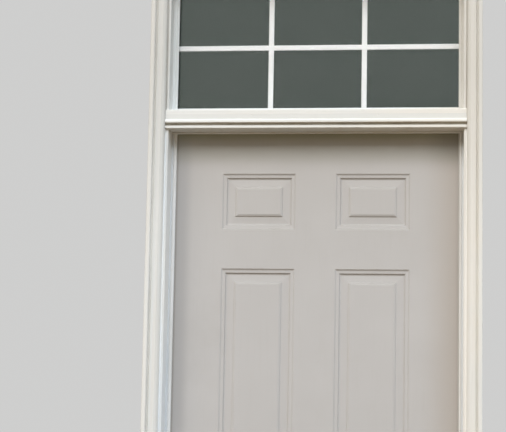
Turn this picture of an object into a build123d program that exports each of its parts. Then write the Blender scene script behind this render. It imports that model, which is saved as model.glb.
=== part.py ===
# Panelled entry door, pre-hung in its frame, with a grilled transom light above.
# Millimetres. +X is to the right seen from outside, +Y goes into the house, +Z is up.
# Origin: middle of the width, outer edge of the jambs, underside of the sill.
import os

from build123d import *

os.makedirs("parts", exist_ok=True)

# Door slab
slab_width = 908.0
slab_height = 2007.0
slab_thickness = 44.5
skin_thickness = 0.8
hem_width = 6.5
edge_gap = 3.0
slab_lift = 38.0
stile_width = 30.0
top_rail_height = 30.0
bottom_rail_height = 40.0

# Embossed panels, two columns of three, measured down from the slab's top
panel_width = 224.0
panel_spacing = 345.5
panel_drops = [138.0, 428.0, 1181.0]
panel_heights = [171.0, 577.0, 610.0]
# Each point is the distance in from the panel's edge and the depth below the face
panel_profile = [
    (0, 0),
    (4.6, 3.1),
    (12.8, 3.7),
    (15.4, 7.7),
    (19.2, 8.2),
    (39.5, 6.9),
    (41.8, 4.4),
    (47.5, 2.4),
]
panel_bend = 1.0
core_clearance = 0.3

# Wood frame
jamb_depth = 116.7
jamb_thickness = 31.75
transom_sill_thickness = 25.4
rabbet_depth = 12.7
strip_gap = 4.7
housing_depth = 9.5
arris = 1.5
kerf_width = 3.0
kerf_depth = 10.0
kerf_inset = 4.0

# Transom light
sight_height = 380.0
bead_width = 15.5
bead_depth = 12.0
bead_crest = 6.0
pane_thickness = 3.0
air_space = 13.0
glass_clearance = 3.0
mitre_gap = 0.1
spacer_height = 8.0
spacer_inset = 3.0
bar_width = 16.0
bar_thickness = 5.0
bar_columns = 3
bar_rows = 2
bar_chamfer = 1.2

# Outside casing and the trim over the joint of door and transom
casing_width = 46.0
casing_thickness = 34.0
casing_reveal = 9.5
trim_low = -1.0
trim_bead = 8.0
trim_bead_top = 7.5
trim_groove = 2.0
trim_lip_low = 15.5
trim_lip = 12.0
trim_lip_top = 27.0
trim_board = 7.5
trim_top = 56.5
trim_end_gap = 0.5

# Sill
nose_reach = 28.0
nose_height = 13.6
tread_thickness = 1.6
tread_dam_height = 27.0
sill_back_height = 20.0
cap_top = 31.0
cap_depth = 41.0
cap_seat_gap = 0.2
cap_wall = 4.0
cap_screw_radius = 4.0
cap_screw_clearance = 0.05
cap_screw_inset = 64.0
cap_screw_count = 4

# Weatherstrip and sweep
strip_overhang = 16.0
head_strip_overhang = 6.0
bulb_rise = 3.5
head_bulb_rise = 2.0
bulb_start = 5.5
head_bulb_start = 0.7
bulb_edge = 1.3
strip_clearance = 0.4
barb_width = 2.2
barb_depth = 8.0
sweep_depth = 40.0
sweep_base = 2.2
sweep_fin = 1.4
sweep_fin_pitch = 12.0
sweep_clearance = 0.4

# Hinges
hinge_height = 102.0
leaf_thickness = 2.3
leaf_margin = 6.8
barrel_radius = 6.0
barrel_clearance = 0.6
knuckle_count = 5
knuckle_gap = 0.3
pin_radius = 3.2
pin_clearance = 0.05
pin_head_radius = 5.2
pin_head_height = 3.0
hinge_top_drop = 229.0
hinge_bottom_rise = 330.0

# Lockset
backset = 60.3
lever_rise = 914.0
deadbolt_rise = 1054.0
cross_bore_radius = 27.0
edge_bore_radius = 12.7
lock_block_width = 92.0
lock_block_margin = 100.0
faceplate_thickness = 2.4
faceplate_width = 25.4
faceplate_height = 57.2
faceplate_clearance = 0.1
case_radius = 12.4
case_length = 70.0
case_end_gap = 2.0
latch_size = (12.5, 16.0)
latch_throw = 12.0
latch_nose = 2.5
latch_bevel = 11.0
latch_length = 48.0
bolt_size = (13.5, 19.5)
bolt_length = 48.0
bolt_clearance = 0.15
bolt_edge = 1.0
rose_radius = 32.5
rose_thickness = 9.0
rose_edge = 3.0
neck_radius = 10.0
neck_clearance = 0.08
neck_reach = 4.0
lever_length = 112.0
lever_root_radius = 12.0
lever_tip_radius = 8.5
lever_thickness = 12.0
lever_standoff = 38.0
lever_edge = 3.5
spindle_size = 8.0
spindle_clearance = 0.1
spindle_socket = 14.0
spindle_hole_radius = 6.5
cylinder_radius = 31.0
cylinder_face_radius = 25.0
cylinder_height = 20.0
cylinder_body_radius = 16.0
cylinder_body_reach = 9.0
plug_radius = 8.0
plug_relief = 1.0
keyway = (2.4, 8.5)
keyway_depth = 4.0
turn_length = 34.0
turn_width = 9.0
turn_height = 17.0
turn_hub_radius = 9.0
turn_hub_height = 3.0
turn_edge = 2.0
tailpiece = (6.0, 2.2)
tailpiece_entry = 4.0
tailpiece_hole_radius = 4.5

# Strike plates
strike_thickness = 1.6
strike_width = 28.0
strike_height = 57.2
strike_lip = 3.2
strike_hole_margin = 1.2
strike_pocket_margin = 2.0
strike_pocket_depth = 15.0

# Places worked out from the sizes above
slab_edge = slab_width / 2
rabbet_x = slab_edge + edge_gap
stop_x = rabbet_x - rabbet_depth
slab_front = jamb_depth - slab_thickness
slab_middle = jamb_depth - slab_thickness / 2
core_front = slab_front + skin_thickness
core_back = jamb_depth - skin_thickness
shoulder_y = slab_front - strip_gap
slab_top = slab_lift + slab_height
head_z = slab_top + edge_gap - rabbet_depth
mull_z = head_z + jamb_thickness
transom_low = mull_z + transom_sill_thickness
transom_high = transom_low + sight_height + 2 * bead_width
frame_top = transom_high + jamb_thickness
casing_inner_x = stop_x + casing_reveal
casing_outer_x = casing_inner_x + casing_width
casing_inner_z = transom_high + casing_reveal
casing_outer_z = casing_inner_z + casing_width
cap_screw_pitch = (slab_width - 2 * cap_screw_inset) / (cap_screw_count - 1)
glass_back = shoulder_y + 2 * pane_thickness + air_space
glass_half = rabbet_x - glass_clearance
glass_low = transom_low - rabbet_depth + glass_clearance
glass_high = transom_high + rabbet_depth - glass_clearance
sight_x = stop_x - bead_width
sight_low = transom_low + bead_width
sight_high = transom_high - bead_width
hinge_x = (slab_edge + rabbet_x) / 2
hinge_y = jamb_depth + barrel_radius + barrel_clearance
hinge_heights = [slab_top - hinge_top_drop, 0, slab_lift + hinge_bottom_rise]
hinge_heights[1] = (hinge_heights[0] + hinge_heights[2]) / 2
lock_x = -slab_edge + backset
lever_z = slab_lift + lever_rise
deadbolt_z = slab_lift + deadbolt_rise
panel_edge = panel_profile[-1][0]
field_depth = panel_profile[-1][1]
panels = [
    (column * panel_spacing / 2, slab_top - panel_drops[row] - panel_heights[row] / 2, row)
    for row in range(len(panel_heights))
    for column in (-1, 1)
]


def jamb_profile(kerf=True, back=jamb_thickness):
    """Section of a rabbeted jamb: depth along x, thickness along y, stop face at y 0."""
    points = [(0, 0), (shoulder_y, 0)]
    if kerf:
        low = rabbet_depth - kerf_inset - kerf_width
        points += [
            (shoulder_y, low),
            (shoulder_y - kerf_depth, low),
            (shoulder_y - kerf_depth, low + kerf_width),
            (shoulder_y, low + kerf_width),
        ]
    points += [(shoulder_y, rabbet_depth), (jamb_depth, rabbet_depth), (jamb_depth, back), (0, back)]
    with BuildSketch() as section:
        with BuildLine():
            Polyline(*points, close=True)
        make_face()
        corners = [(0, 0), (shoulder_y, 0), (jamb_depth, rabbet_depth)]
        for corner in corners:
            chamfer(section.vertices().sort_by_distance((*corner, 0))[0], arris)
    return section.sketch


def casing_profile():
    """Section of the brick moulding: distance from the inner edge along x, projection along y."""
    with BuildSketch() as section:
        with BuildLine():
            inner = Line((0, 0), (0, 11))
            cove = RadiusArc(inner @ 1, (9, 21), 16)
            arris_top = Polyline(cove @ 1, (11, 22.5), (12, 22.5))
            crown = RadiusArc(arris_top @ 1, (26, 27), -34)
            groove = Polyline(crown @ 1, (27.5, 23.5), (31.5, 23.5), (33, casing_thickness - 1.5))
            nose = RadiusArc(groove @ 1, (34.8, casing_thickness), -1.8)
            Polyline(
                nose @ 1,
                (casing_width - 2, casing_thickness),
                (casing_width, casing_thickness - 2),
                (casing_width, 0),
                (0, 0),
            )
        make_face()
    return section.sketch


def section_outline(points):
    """Face of a closed outline, on the active plane."""
    with BuildSketch() as section:
        with BuildLine():
            Polyline(*points, close=True)
        make_face()
    return section.sketch


# Side jambs, one board each through door and transom, with housings for the cross members
for side, name in ((-1, "strike_jamb"), (1, "hinge_jamb")):
    with BuildPart() as jamb:
        with BuildSketch(Plane(origin=(side * stop_x, 0, 0), x_dir=(0, 1, 0), z_dir=(0, 0, -side))):
            add(jamb_profile())
        extrude(amount=-side * frame_top)
        for level, turn in ((head_z, 1), (transom_low, -1), (transom_high, 1)):
            member = Plane(origin=(0, 0, level), x_dir=(0, 1, 0), z_dir=(turn, 0, 0))
            with BuildSketch(member):
                add(jamb_profile(kerf=False, back=jamb_thickness if turn > 0 else transom_sill_thickness))
            extrude(amount=rabbet_x + housing_depth, both=True, mode=Mode.SUBTRACT)
        if side > 0:
            for hinge_z in hinge_heights:
                with BuildSketch(Plane.YZ.offset(rabbet_x)):
                    with Locations((jamb_depth, hinge_z)):
                        leaf_size = slab_thickness - leaf_margin
                        Rectangle(leaf_size, hinge_height, align=(Align.MAX, Align.CENTER))
                extrude(amount=leaf_thickness, mode=Mode.SUBTRACT)
        else:
            for lock_z, size in ((lever_z, latch_size), (deadbolt_z, bolt_size)):
                with BuildSketch(Plane.YZ.offset(-rabbet_x)):
                    with Locations((slab_middle, lock_z)):
                        Rectangle(strike_width, strike_height)
                    if lock_z == lever_z:
                        with Locations((jamb_depth, lock_z)):
                            lip_size = jamb_depth - slab_middle
                            Rectangle(lip_size, strike_height / 2, align=(Align.MAX, Align.CENTER))
                extrude(amount=-strike_thickness, mode=Mode.SUBTRACT)
                with BuildSketch(Plane.YZ.offset(-rabbet_x)):
                    with Locations((slab_middle, lock_z)):
                        Rectangle(*(extent + 2 * strike_pocket_margin for extent in size))
                depth = strike_pocket_depth if size is latch_size else jamb_thickness
                extrude(amount=-depth, mode=Mode.SUBTRACT)
    jamb.part.label = name
    export_step(jamb.part, f"parts/{name}.step")

# Cross members: door head, transom sill turned over onto it, transom head
for name, level, turn in (
    ("head_jamb", head_z, 1),
    ("transom_sill", transom_low, -1),
    ("transom_head", transom_high, 1),
):
    with BuildPart() as member:
        with BuildSketch(Plane(origin=(0, 0, level), x_dir=(0, 1, 0), z_dir=(turn, 0, 0))):
            thickness = transom_sill_thickness if name == "transom_sill" else jamb_thickness
            add(jamb_profile(kerf=name == "head_jamb", back=thickness))
        extrude(amount=rabbet_x + housing_depth, both=True)
    member.part.label = name
    export_step(member.part, f"parts/{name}.step")

# Brick moulding: two legs mitred into the head piece
for side, name in ((-1, "casing_left"), (1, "casing_right")):
    with BuildPart() as casing:
        leg = Plane(origin=(side * casing_inner_x, 0, 0), x_dir=(side, 0, 0), z_dir=(0, 0, -side))
        with BuildSketch(leg):
            add(casing_profile())
        extrude(amount=-side * casing_outer_z)
        corner = (side * casing_inner_x, 0, casing_inner_z)
        split(bisect_by=Plane(origin=corner, x_dir=(0, 1, 0), z_dir=(-side, 0, 1)), keep=Keep.BOTTOM)
    casing.part.label = name
    export_step(casing.part, f"parts/{name}.step")

with BuildPart() as casing_head:
    with BuildSketch(Plane(origin=(0, 0, casing_inner_z), x_dir=(0, 0, 1), z_dir=(1, 0, 0))):
        add(casing_profile())
    extrude(amount=casing_outer_x, both=True)
    for side in (-1, 1):
        corner = (side * casing_inner_x, 0, casing_inner_z)
        split(bisect_by=Plane(origin=corner, x_dir=(0, 1, 0), z_dir=(-side, 0, 1)), keep=Keep.TOP)
casing_head.part.label = "casing_head"
export_step(casing_head.part, "parts/casing_head.step")

# Trim over the joint of door and transom: a bead, a groove in shadow, a nosed lip and a board
with BuildPart() as mull_trim:
    with BuildSketch(Plane(origin=(0, 0, head_z), x_dir=(0, -1, 0), z_dir=(-1, 0, 0))):
        with BuildLine():
            low = Polyline(
                (0, trim_low),
                (trim_bead - 1, trim_low),
                (trim_bead, trim_low + 1),
                (trim_bead, trim_bead_top - 1),
                (trim_bead - 1, trim_bead_top),
                (trim_groove, trim_bead_top),
                (trim_groove, trim_lip_low),
                (trim_lip - 1, trim_lip_low),
                (trim_lip, trim_lip_low + 1),
                (trim_lip, trim_lip_low + 3),
            )
            nose = ThreePointArc(
                low @ 1,
                (trim_lip - 1.2, (trim_lip_low + trim_lip_top) / 2 + 3),
                (trim_board, trim_lip_top),
            )
            Polyline(
                nose @ 1,
                (trim_board, trim_top - 2),
                (trim_board - 2, trim_top),
                (0, trim_top),
                (0, trim_low),
            )
        make_face()
    extrude(amount=casing_inner_x - trim_end_gap, both=True)
mull_trim.part.label = "mull_trim"
export_step(mull_trim.part, "parts/mull_trim.step")


def sill_plan():
    """Plan of the sill: wide in front, stepped in between the stops and the rabbets."""
    front = casing_inner_x - trim_end_gap
    middle = stop_x
    back = rabbet_x
    half = [
        (front, -nose_reach),
        (front, 0),
        (middle, 0),
        (middle, shoulder_y),
        (back, shoulder_y),
        (back, jamb_depth),
    ]
    other = [(-x, y) for x, y in reversed(half)]
    return section_outline(half + other)


# Sill: a solid base, an aluminium tread over it and an adjustable cap under the door
tread_back = slab_front - tread_thickness
with BuildPart() as sill_base:
    with BuildSketch():
        add(sill_plan())
    extrude(amount=sill_back_height)
    with BuildSketch(Plane.YZ):
        with BuildLine():
            Polyline(
                (-nose_reach - 1, nose_height + tread_thickness),
                (-nose_reach - 1, -1),
                (-nose_reach + tread_thickness, -1),
                (-nose_reach + tread_thickness, nose_height - tread_thickness),
                (tread_back, sill_back_height),
                (tread_back, sill_back_height + 1),
                (-nose_reach - 1, sill_back_height + 1),
                close=True,
            )
        make_face()
    extrude(amount=casing_outer_x, both=True, mode=Mode.SUBTRACT)
    with BuildSketch(Plane.XY.offset(sill_back_height)):
        with Locations((0, slab_front + cap_depth / 2)):
            with GridLocations(cap_screw_pitch, 0, cap_screw_count, 1):
                Circle(cap_screw_radius + cap_screw_clearance)
    extrude(amount=-sill_back_height / 2, mode=Mode.SUBTRACT)
sill_base.part.label = "sill_base"
export_step(sill_base.part, "parts/sill_base.step")

with BuildPart() as threshold:
    with BuildSketch():
        add(sill_plan())
    extrude(amount=tread_dam_height)
    with BuildSketch(Plane.YZ):
        with BuildLine():
            Polyline(
                (-nose_reach, 1),
                (-nose_reach, nose_height),
                (tread_back, sill_back_height + tread_thickness),
                (tread_back, tread_dam_height),
                (tread_back + tread_thickness, tread_dam_height),
                (tread_back + tread_thickness, sill_back_height),
                (tread_back, sill_back_height),
                (-nose_reach + tread_thickness, nose_height - tread_thickness),
                (-nose_reach + tread_thickness, 1),
                close=True,
            )
        make_face()
    extrude(amount=casing_outer_x, both=True, mode=Mode.INTERSECT)
threshold.part.label = "threshold"
export_step(threshold.part, "parts/threshold.step")

cap_front = slab_front + cap_seat_gap
cap_low = sill_back_height + cap_seat_gap
with BuildPart() as threshold_cap:
    with BuildSketch(Plane.YZ):
        with BuildLine():
            Polyline(
                (cap_front, cap_low),
                (cap_front, cap_top - 2.5),
                (cap_front + 4, cap_top),
                (cap_front + cap_depth - 4, cap_top),
                (cap_front + cap_depth, cap_top - 2.5),
                (cap_front + cap_depth, cap_low),
                (cap_front + cap_depth - cap_wall, cap_low),
                (cap_front + cap_depth - cap_wall, cap_low + 3),
                (cap_front + cap_wall, cap_low + 3),
                (cap_front + cap_wall, cap_low),
                close=True,
            )
        make_face()
    extrude(amount=rabbet_x - cap_seat_gap, both=True)
    with BuildSketch(Plane.XY.offset(cap_top)):
        with Locations((0, slab_front + cap_depth / 2)):
            with GridLocations(cap_screw_pitch, 0, cap_screw_count, 1):
                Circle(cap_screw_radius + cap_screw_clearance)
    extrude(amount=cap_low - cap_top, mode=Mode.SUBTRACT)
threshold_cap.part.label = "threshold_cap"
export_step(threshold_cap.part, "parts/threshold_cap.step")

with BuildPart() as cap_screws:
    with BuildSketch(Plane.XY.offset(cap_top - 0.5)):
        with Locations((0, slab_front + cap_depth / 2)):
            with GridLocations(cap_screw_pitch, 0, cap_screw_count, 1):
                Circle(cap_screw_radius)
    extrude(amount=sill_back_height / 2 + cap_screw_clearance - cap_top + 0.5)
cap_screws.part.label = "cap_screws"
export_step(cap_screws.part, "parts/cap_screws.step")

# Weatherstrip: a soft bulb in the corner of the rabbet, its barb pushed into the kerf
strip_thickness = strip_gap - strip_clearance
barb_near = kerf_inset + (kerf_width - barb_width) / 2


def strip_profile(overhang, rise, start):
    """Section of the weatherstrip: distance from the rabbet face along x, depth along y."""
    reach = rabbet_depth + overhang
    bulb_foot = rabbet_depth + start
    with BuildSketch() as section:
        with BuildLine():
            low = Line((0.2, 0), (barb_near, 0))
            barb = Polyline(
                low @ 1,
                (barb_near, -barb_depth),
                (barb_near + barb_width, -barb_depth),
                (barb_near + barb_width, 0),
                (bulb_foot, 0),
            )
            bulb = ThreePointArc(barb @ 1, ((bulb_foot + reach) / 2, -rise), (reach, 1))
            Polyline(
                bulb @ 1,
                (reach, strip_thickness - bulb_edge),
                (reach - bulb_edge, strip_thickness),
                (0.2, strip_thickness),
                low @ 0,
            )
        make_face()
    return section.sketch


strip_top = head_z + rabbet_depth
head_strip_low = head_z - head_strip_overhang - mitre_gap
cut_width = 2 * strip_overhang + rabbet_depth
for side, name in ((-1, "weatherstrip_left"), (1, "weatherstrip_right")):
    with BuildPart() as strip:
        foot = (side * rabbet_x, shoulder_y, cap_top)
        with BuildSketch(Plane(origin=foot, x_dir=(-side, 0, 0), z_dir=(0, 0, -side))):
            add(strip_profile(strip_overhang, bulb_rise, bulb_start))
        extrude(amount=-side * (strip_top - cap_top))
        # Mitred behind the stop, and butted under the head strip where this one is wider
        with BuildSketch(Plane.XZ):
            with BuildLine():
                meeting_x = side * (rabbet_x - (strip_top - head_strip_low))
                inside_x = side * (rabbet_x - cut_width)
                Polyline(
                    (side * rabbet_x, strip_top),
                    (meeting_x, head_strip_low),
                    (inside_x, head_strip_low),
                    (inside_x, strip_top),
                    close=True,
                )
            make_face()
        extrude(amount=-2 * shoulder_y, mode=Mode.SUBTRACT)
        with BuildSketch(Plane.XY.offset(head_z)):
            with Locations((side * rabbet_x, shoulder_y)):
                Rectangle(2 * cut_width, 2 * barb_depth, align=(Align.CENTER, Align.MAX))
        extrude(amount=strip_top - head_z, mode=Mode.SUBTRACT)
    strip.part.label = name
    export_step(strip.part, f"parts/{name}.step")

with BuildPart() as weatherstrip_head:
    with BuildSketch(Plane(origin=(0, shoulder_y, strip_top), x_dir=(0, 0, -1), z_dir=(1, 0, 0))):
        add(strip_profile(head_strip_overhang, head_bulb_rise, head_bulb_start))
    extrude(amount=rabbet_x, both=True)
    for side in (-1, 1):
        corner = (side * rabbet_x, 0, strip_top)
        split(bisect_by=Plane(origin=corner, x_dir=(0, 1, 0), z_dir=(-side, 0, 1)), keep=Keep.TOP)
weatherstrip_head.part.label = "weatherstrip_head"
export_step(weatherstrip_head.part, "parts/weatherstrip_head.step")


def mitred_frame(section, half, low, high, face_y, toward):
    """Four mitred sides of an upright frame. The section runs inward along x and toward Y along y."""
    corners = [Vector(-half, face_y, low), Vector(half, face_y, low)]
    corners += [Vector(half, face_y, high), Vector(-half, face_y, high)]
    names = ["bottom", "right", "top", "left"]
    for name, start, end in zip(names, corners, corners[1:] + corners[:1]):
        run = (end - start).normalized()
        inward = Vector(-run.Z, 0, run.X)
        plane = Plane(origin=start, x_dir=inward, z_dir=inward.cross(Vector(0, toward, 0)))
        with BuildPart() as piece:
            with BuildSketch(plane):
                add(section)
            extrude(amount=(end - start).dot(plane.z_dir))
            first_mitre = Plane(origin=start + run * mitre_gap, x_dir=(0, 1, 0), z_dir=run - inward)
            split(bisect_by=first_mitre, keep=Keep.TOP)
            last_mitre = Plane(origin=end - run * mitre_gap, x_dir=(0, 1, 0), z_dir=run + inward)
            split(bisect_by=last_mitre, keep=Keep.BOTTOM)
        yield name, piece


# White glazing beads outside the glass, mitred at the corners: a steep face, then a flat crest
with BuildSketch() as bead_section:
    with BuildLine():
        low = Polyline((0, 0), (0, bead_depth), (1.5, bead_depth))
        slope = RadiusArc(low @ 1, (bead_width - 8.5, bead_crest - 1), -14)
        Polyline(
            slope @ 1,
            (bead_width - 7.5, bead_crest),
            (bead_width - 2, bead_crest),
            (bead_width, bead_crest - 2),
            (bead_width, 0),
            (0, 0),
        )
    make_face()
for name, bead in mitred_frame(bead_section.sketch, stop_x, transom_low, transom_high, shoulder_y, -1):
    bead.part.label = f"glazing_bead_{name}"
    export_step(bead.part, f"parts/glazing_bead_{name}.step")

# Wooden stops inside the glass, filling the rabbet
stop_width = rabbet_depth + bead_width
stop_depth = jamb_depth - glass_back
with BuildSketch() as stop_section:
    with BuildLine():
        back = Polyline((0, 0), (0, stop_depth), (rabbet_depth + 3, stop_depth))
        ovolo = RadiusArc(back @ 1, (stop_width, stop_depth / 3), stop_depth)
        Polyline(ovolo @ 1, (stop_width, 0), (0, 0))
    make_face()
stop_low = transom_low - rabbet_depth
stop_high = transom_high + rabbet_depth
for name, stop in mitred_frame(stop_section.sketch, rabbet_x, stop_low, stop_high, glass_back, 1):
    stop.part.label = f"glass_stop_{name}"
    export_step(stop.part, f"parts/glass_stop_{name}.step")


def upright_rectangle(half, low, high):
    """A rectangle about the middle of the width, on an upright plane that faces outside."""
    with Locations((0, low)):
        Rectangle(2 * half, high - low, align=(Align.CENTER, Align.MIN))


# Sealed glass unit: two panes, the spacer between them and the grille in its air space
for name, pane_y in (("outer_pane", shoulder_y), ("inner_pane", shoulder_y + pane_thickness + air_space)):
    with BuildPart() as pane:
        with BuildSketch(Plane.XZ.offset(-pane_y)):
            upright_rectangle(glass_half, glass_low, glass_high)
        extrude(amount=-pane_thickness)
    pane.part.label = name
    export_step(pane.part, f"parts/{name}.step")

air_y = shoulder_y + pane_thickness
spacer_half = glass_half - spacer_inset
spacer_low = glass_low + spacer_inset
spacer_high = glass_high - spacer_inset
with BuildPart() as glass_spacer:
    with BuildSketch(Plane.XZ.offset(-air_y)) as ring:
        upright_rectangle(spacer_half, spacer_low, spacer_high)
        offset(amount=-spacer_height, kind=Kind.INTERSECTION, mode=Mode.SUBTRACT)
    extrude(amount=-air_space)
glass_spacer.part.label = "glass_spacer"
export_step(glass_spacer.part, "parts/glass_spacer.step")

bar_half = spacer_half - spacer_height
bar_low = spacer_low + spacer_height
bar_high = spacer_high - spacer_height
with BuildSketch() as bar_section:
    Rectangle(bar_width, bar_thickness)
    chamfer(bar_section.vertices(), bar_chamfer)
bar_face = bar_section.sketch
with BuildPart() as grille_bars:
    bar_y = air_y + air_space / 2
    for column in range(1, bar_columns):
        bar_x = sight_x * (2 * column / bar_columns - 1)
        with BuildSketch(Plane(origin=(bar_x, bar_y, bar_low), x_dir=(1, 0, 0), z_dir=(0, 0, 1))):
            add(bar_face)
        extrude(amount=bar_high - bar_low)
    for row in range(1, bar_rows):
        bar_z = sight_low + (sight_high - sight_low) * row / bar_rows
        with BuildSketch(Plane(origin=(-bar_half, bar_y, bar_z), x_dir=(0, 0, 1), z_dir=(1, 0, 0))):
            add(bar_face)
        extrude(amount=2 * bar_half)
grille_bars.part.label = "grille_bars"
export_step(grille_bars.part, "parts/grille_bars.step")


def panel_ring(height, lowered=None):
    """Mitred ring of a panel's profile about the origin, as sheet, or as the cut behind the sheet."""
    left = -panel_width / 2
    right = panel_width / 2
    low = -height / 2
    high = height / 2
    with BuildLine() as path:
        Polyline(
            (left, 0, 0),
            (left, 0, high),
            (right, 0, high),
            (right, 0, low),
            (left, 0, low),
            (left, 0, 0),
        )
    with BuildSketch(Plane(origin=(left, 0, 0), x_dir=(1, 0, 0), z_dir=(0, 0, 1))) as section:
        with BuildLine():
            if lowered is None:
                face = FilletPolyline(*panel_profile, radius=panel_bend)
                back = Polyline(*((x, depth + skin_thickness) for x, depth in panel_profile))
                Line(face @ 0, back @ 0)
                Line(face @ 1, back @ 1)
            else:
                points = [(x, depth + lowered) for x, depth in panel_profile]
                Polyline((0, 0), *points, (panel_edge, 0), close=True)
        make_face()
    with BuildPart() as ring:
        sweep(sections=section.sketch, path=path.wire(), transition=Transition.RIGHT)
    return ring.part


# Steel skins, one sheet each, with hems round the stiles and six embossed panels
panel_rings = [panel_ring(height) for height in panel_heights]
for name, face_y, inward in (("exterior_skin", slab_front, 1), ("interior_skin", jamb_depth, -1)):
    face_plane = Plane.XZ.offset(-face_y)
    field_plane = Plane.XZ.offset(-face_y - inward * field_depth)
    with BuildPart() as skin:
        with BuildSketch(face_plane):
            upright_rectangle(slab_edge, slab_lift, slab_top)
            for centre_x, centre_z, row in panels:
                with Locations((centre_x, centre_z)):
                    Rectangle(panel_width, panel_heights[row], mode=Mode.SUBTRACT)
        extrude(amount=-inward * skin_thickness)
        with BuildSketch(face_plane):
            hem_middle = slab_edge - skin_thickness / 2
            with Locations((-hem_middle, slab_lift), (hem_middle, slab_lift)):
                Rectangle(skin_thickness, slab_height, align=(Align.CENTER, Align.MIN))
        extrude(amount=-inward * hem_width)
        with BuildSketch(field_plane):
            for centre_x, centre_z, row in panels:
                with Locations((centre_x, centre_z)):
                    Rectangle(panel_width - 2 * panel_edge, panel_heights[row] - 2 * panel_edge)
        extrude(amount=-inward * skin_thickness)
        turn = 0 if inward > 0 else 180
        for centre_x, centre_z, row in panels:
            add(panel_rings[row].moved(Location((centre_x, face_y, centre_z), (0, 0, turn))))
        with BuildSketch(face_plane):
            with Locations((lock_x, lever_z), (lock_x, deadbolt_z)):
                Circle(cross_bore_radius)
        extrude(amount=-inward * slab_thickness / 2, mode=Mode.SUBTRACT)
        if inward < 0:
            for hinge_z in hinge_heights:
                with BuildSketch(Plane.YZ.offset(slab_edge)):
                    with Locations((jamb_depth, hinge_z)):
                        Rectangle(hem_width, hinge_height, align=(Align.MAX, Align.CENTER))
                extrude(amount=-leaf_thickness, mode=Mode.SUBTRACT)
    skin.part.label = name
    export_step(skin.part, f"parts/{name}.step")

# Foam core, moulded to the back of both skins, with a pocket for the lock block
lock_block_low = lever_z - lock_block_margin
lock_block_high = deadbolt_z + lock_block_margin
core_edge = slab_edge - stile_width
core_low = slab_lift + bottom_rail_height
core_high = slab_top - top_rail_height
core_rings = [panel_ring(height, skin_thickness + core_clearance) for height in panel_heights]
with BuildPart() as foam_core:
    with BuildSketch(Plane.XZ.offset(-core_front)):
        upright_rectangle(core_edge, core_low, core_high)
        with Locations((-core_edge, lock_block_low)):
            block_height = lock_block_high - lock_block_low
            Rectangle(lock_block_width, block_height, align=(Align.MIN, Align.MIN), mode=Mode.SUBTRACT)
    extrude(amount=core_front - core_back)
    for face_y, inward, turn in ((slab_front, 1, 0), (jamb_depth, -1, 180)):
        for centre_x, centre_z, row in panels:
            place = Location((centre_x, face_y, centre_z), (0, 0, turn))
            add(core_rings[row].moved(place), mode=Mode.SUBTRACT)
            with BuildSketch(Plane.XZ.offset(-face_y)):
                with Locations((centre_x, centre_z)):
                    Rectangle(panel_width - 2 * panel_edge, panel_heights[row] - 2 * panel_edge)
            field_cut = field_depth + skin_thickness + core_clearance
            extrude(amount=-inward * field_cut, mode=Mode.SUBTRACT)
foam_core.part.label = "foam_core"
export_step(foam_core.part, "parts/foam_core.step")

# Stiles, stepped back where the hems lap round them
for side, name in ((-1, "lock_stile"), (1, "hinge_stile")):
    with BuildPart() as stile:
        with BuildSketch(Plane.XY.offset(slab_lift)):
            with Locations((side * slab_edge, slab_middle)):
                depth = core_back - core_front
                Rectangle(2 * skin_thickness, depth - 2 * (hem_width - skin_thickness))
            with Locations((side * (slab_edge - skin_thickness), slab_middle)):
                width = stile_width - skin_thickness
                Rectangle(width, depth, align=(Align.MAX if side > 0 else Align.MIN, Align.CENTER))
            with Locations((side * slab_edge, slab_middle)):
                outer = Align.MIN if side > 0 else Align.MAX
                Rectangle(2, slab_thickness, align=(outer, Align.CENTER), mode=Mode.SUBTRACT)
        extrude(amount=slab_height)
        if side > 0:
            for hinge_z in hinge_heights:
                with BuildSketch(Plane.YZ.offset(slab_edge)):
                    with Locations((jamb_depth, hinge_z)):
                        leaf_size = slab_thickness - leaf_margin
                        Rectangle(leaf_size, hinge_height, align=(Align.MAX, Align.CENTER))
                extrude(amount=-leaf_thickness, mode=Mode.SUBTRACT)
        else:
            edge_plane = Plane.YZ.offset(-slab_edge)
            for lock_z in (lever_z, deadbolt_z):
                with BuildSketch(edge_plane):
                    with Locations((slab_middle, lock_z)):
                        Rectangle(faceplate_width, faceplate_height)
                extrude(amount=faceplate_thickness, mode=Mode.SUBTRACT)
                with BuildSketch(edge_plane):
                    with Locations((slab_middle, lock_z)):
                        Circle(edge_bore_radius)
                extrude(amount=stile_width, mode=Mode.SUBTRACT)
    stile.part.label = name
    export_step(stile.part, f"parts/{name}.step")

for name, low, height in (
    ("top_rail", core_high, top_rail_height),
    ("bottom_rail", slab_lift, bottom_rail_height),
):
    with BuildPart() as rail:
        with BuildSketch(Plane.XZ.offset(-core_front)):
            upright_rectangle(core_edge, low, low + height)
        extrude(amount=core_front - core_back)
    rail.part.label = name
    export_step(rail.part, f"parts/{name}.step")

with BuildPart() as lock_block:
    with BuildSketch(Plane.XZ.offset(-core_front)):
        with Locations((-core_edge, lock_block_low)):
            Rectangle(lock_block_width, lock_block_high - lock_block_low, align=(Align.MIN, Align.MIN))
        with Locations((lock_x, lever_z), (lock_x, deadbolt_z)):
            Circle(cross_bore_radius, mode=Mode.SUBTRACT)
    extrude(amount=core_front - core_back)
    with BuildSketch(Plane.YZ.offset(-core_edge)):
        with Locations((slab_middle, lever_z), (slab_middle, deadbolt_z)):
            Circle(edge_bore_radius)
    extrude(amount=lock_x + core_edge, mode=Mode.SUBTRACT)
lock_block.part.label = "lock_block"
export_step(lock_block.part, "parts/lock_block.step")

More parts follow.
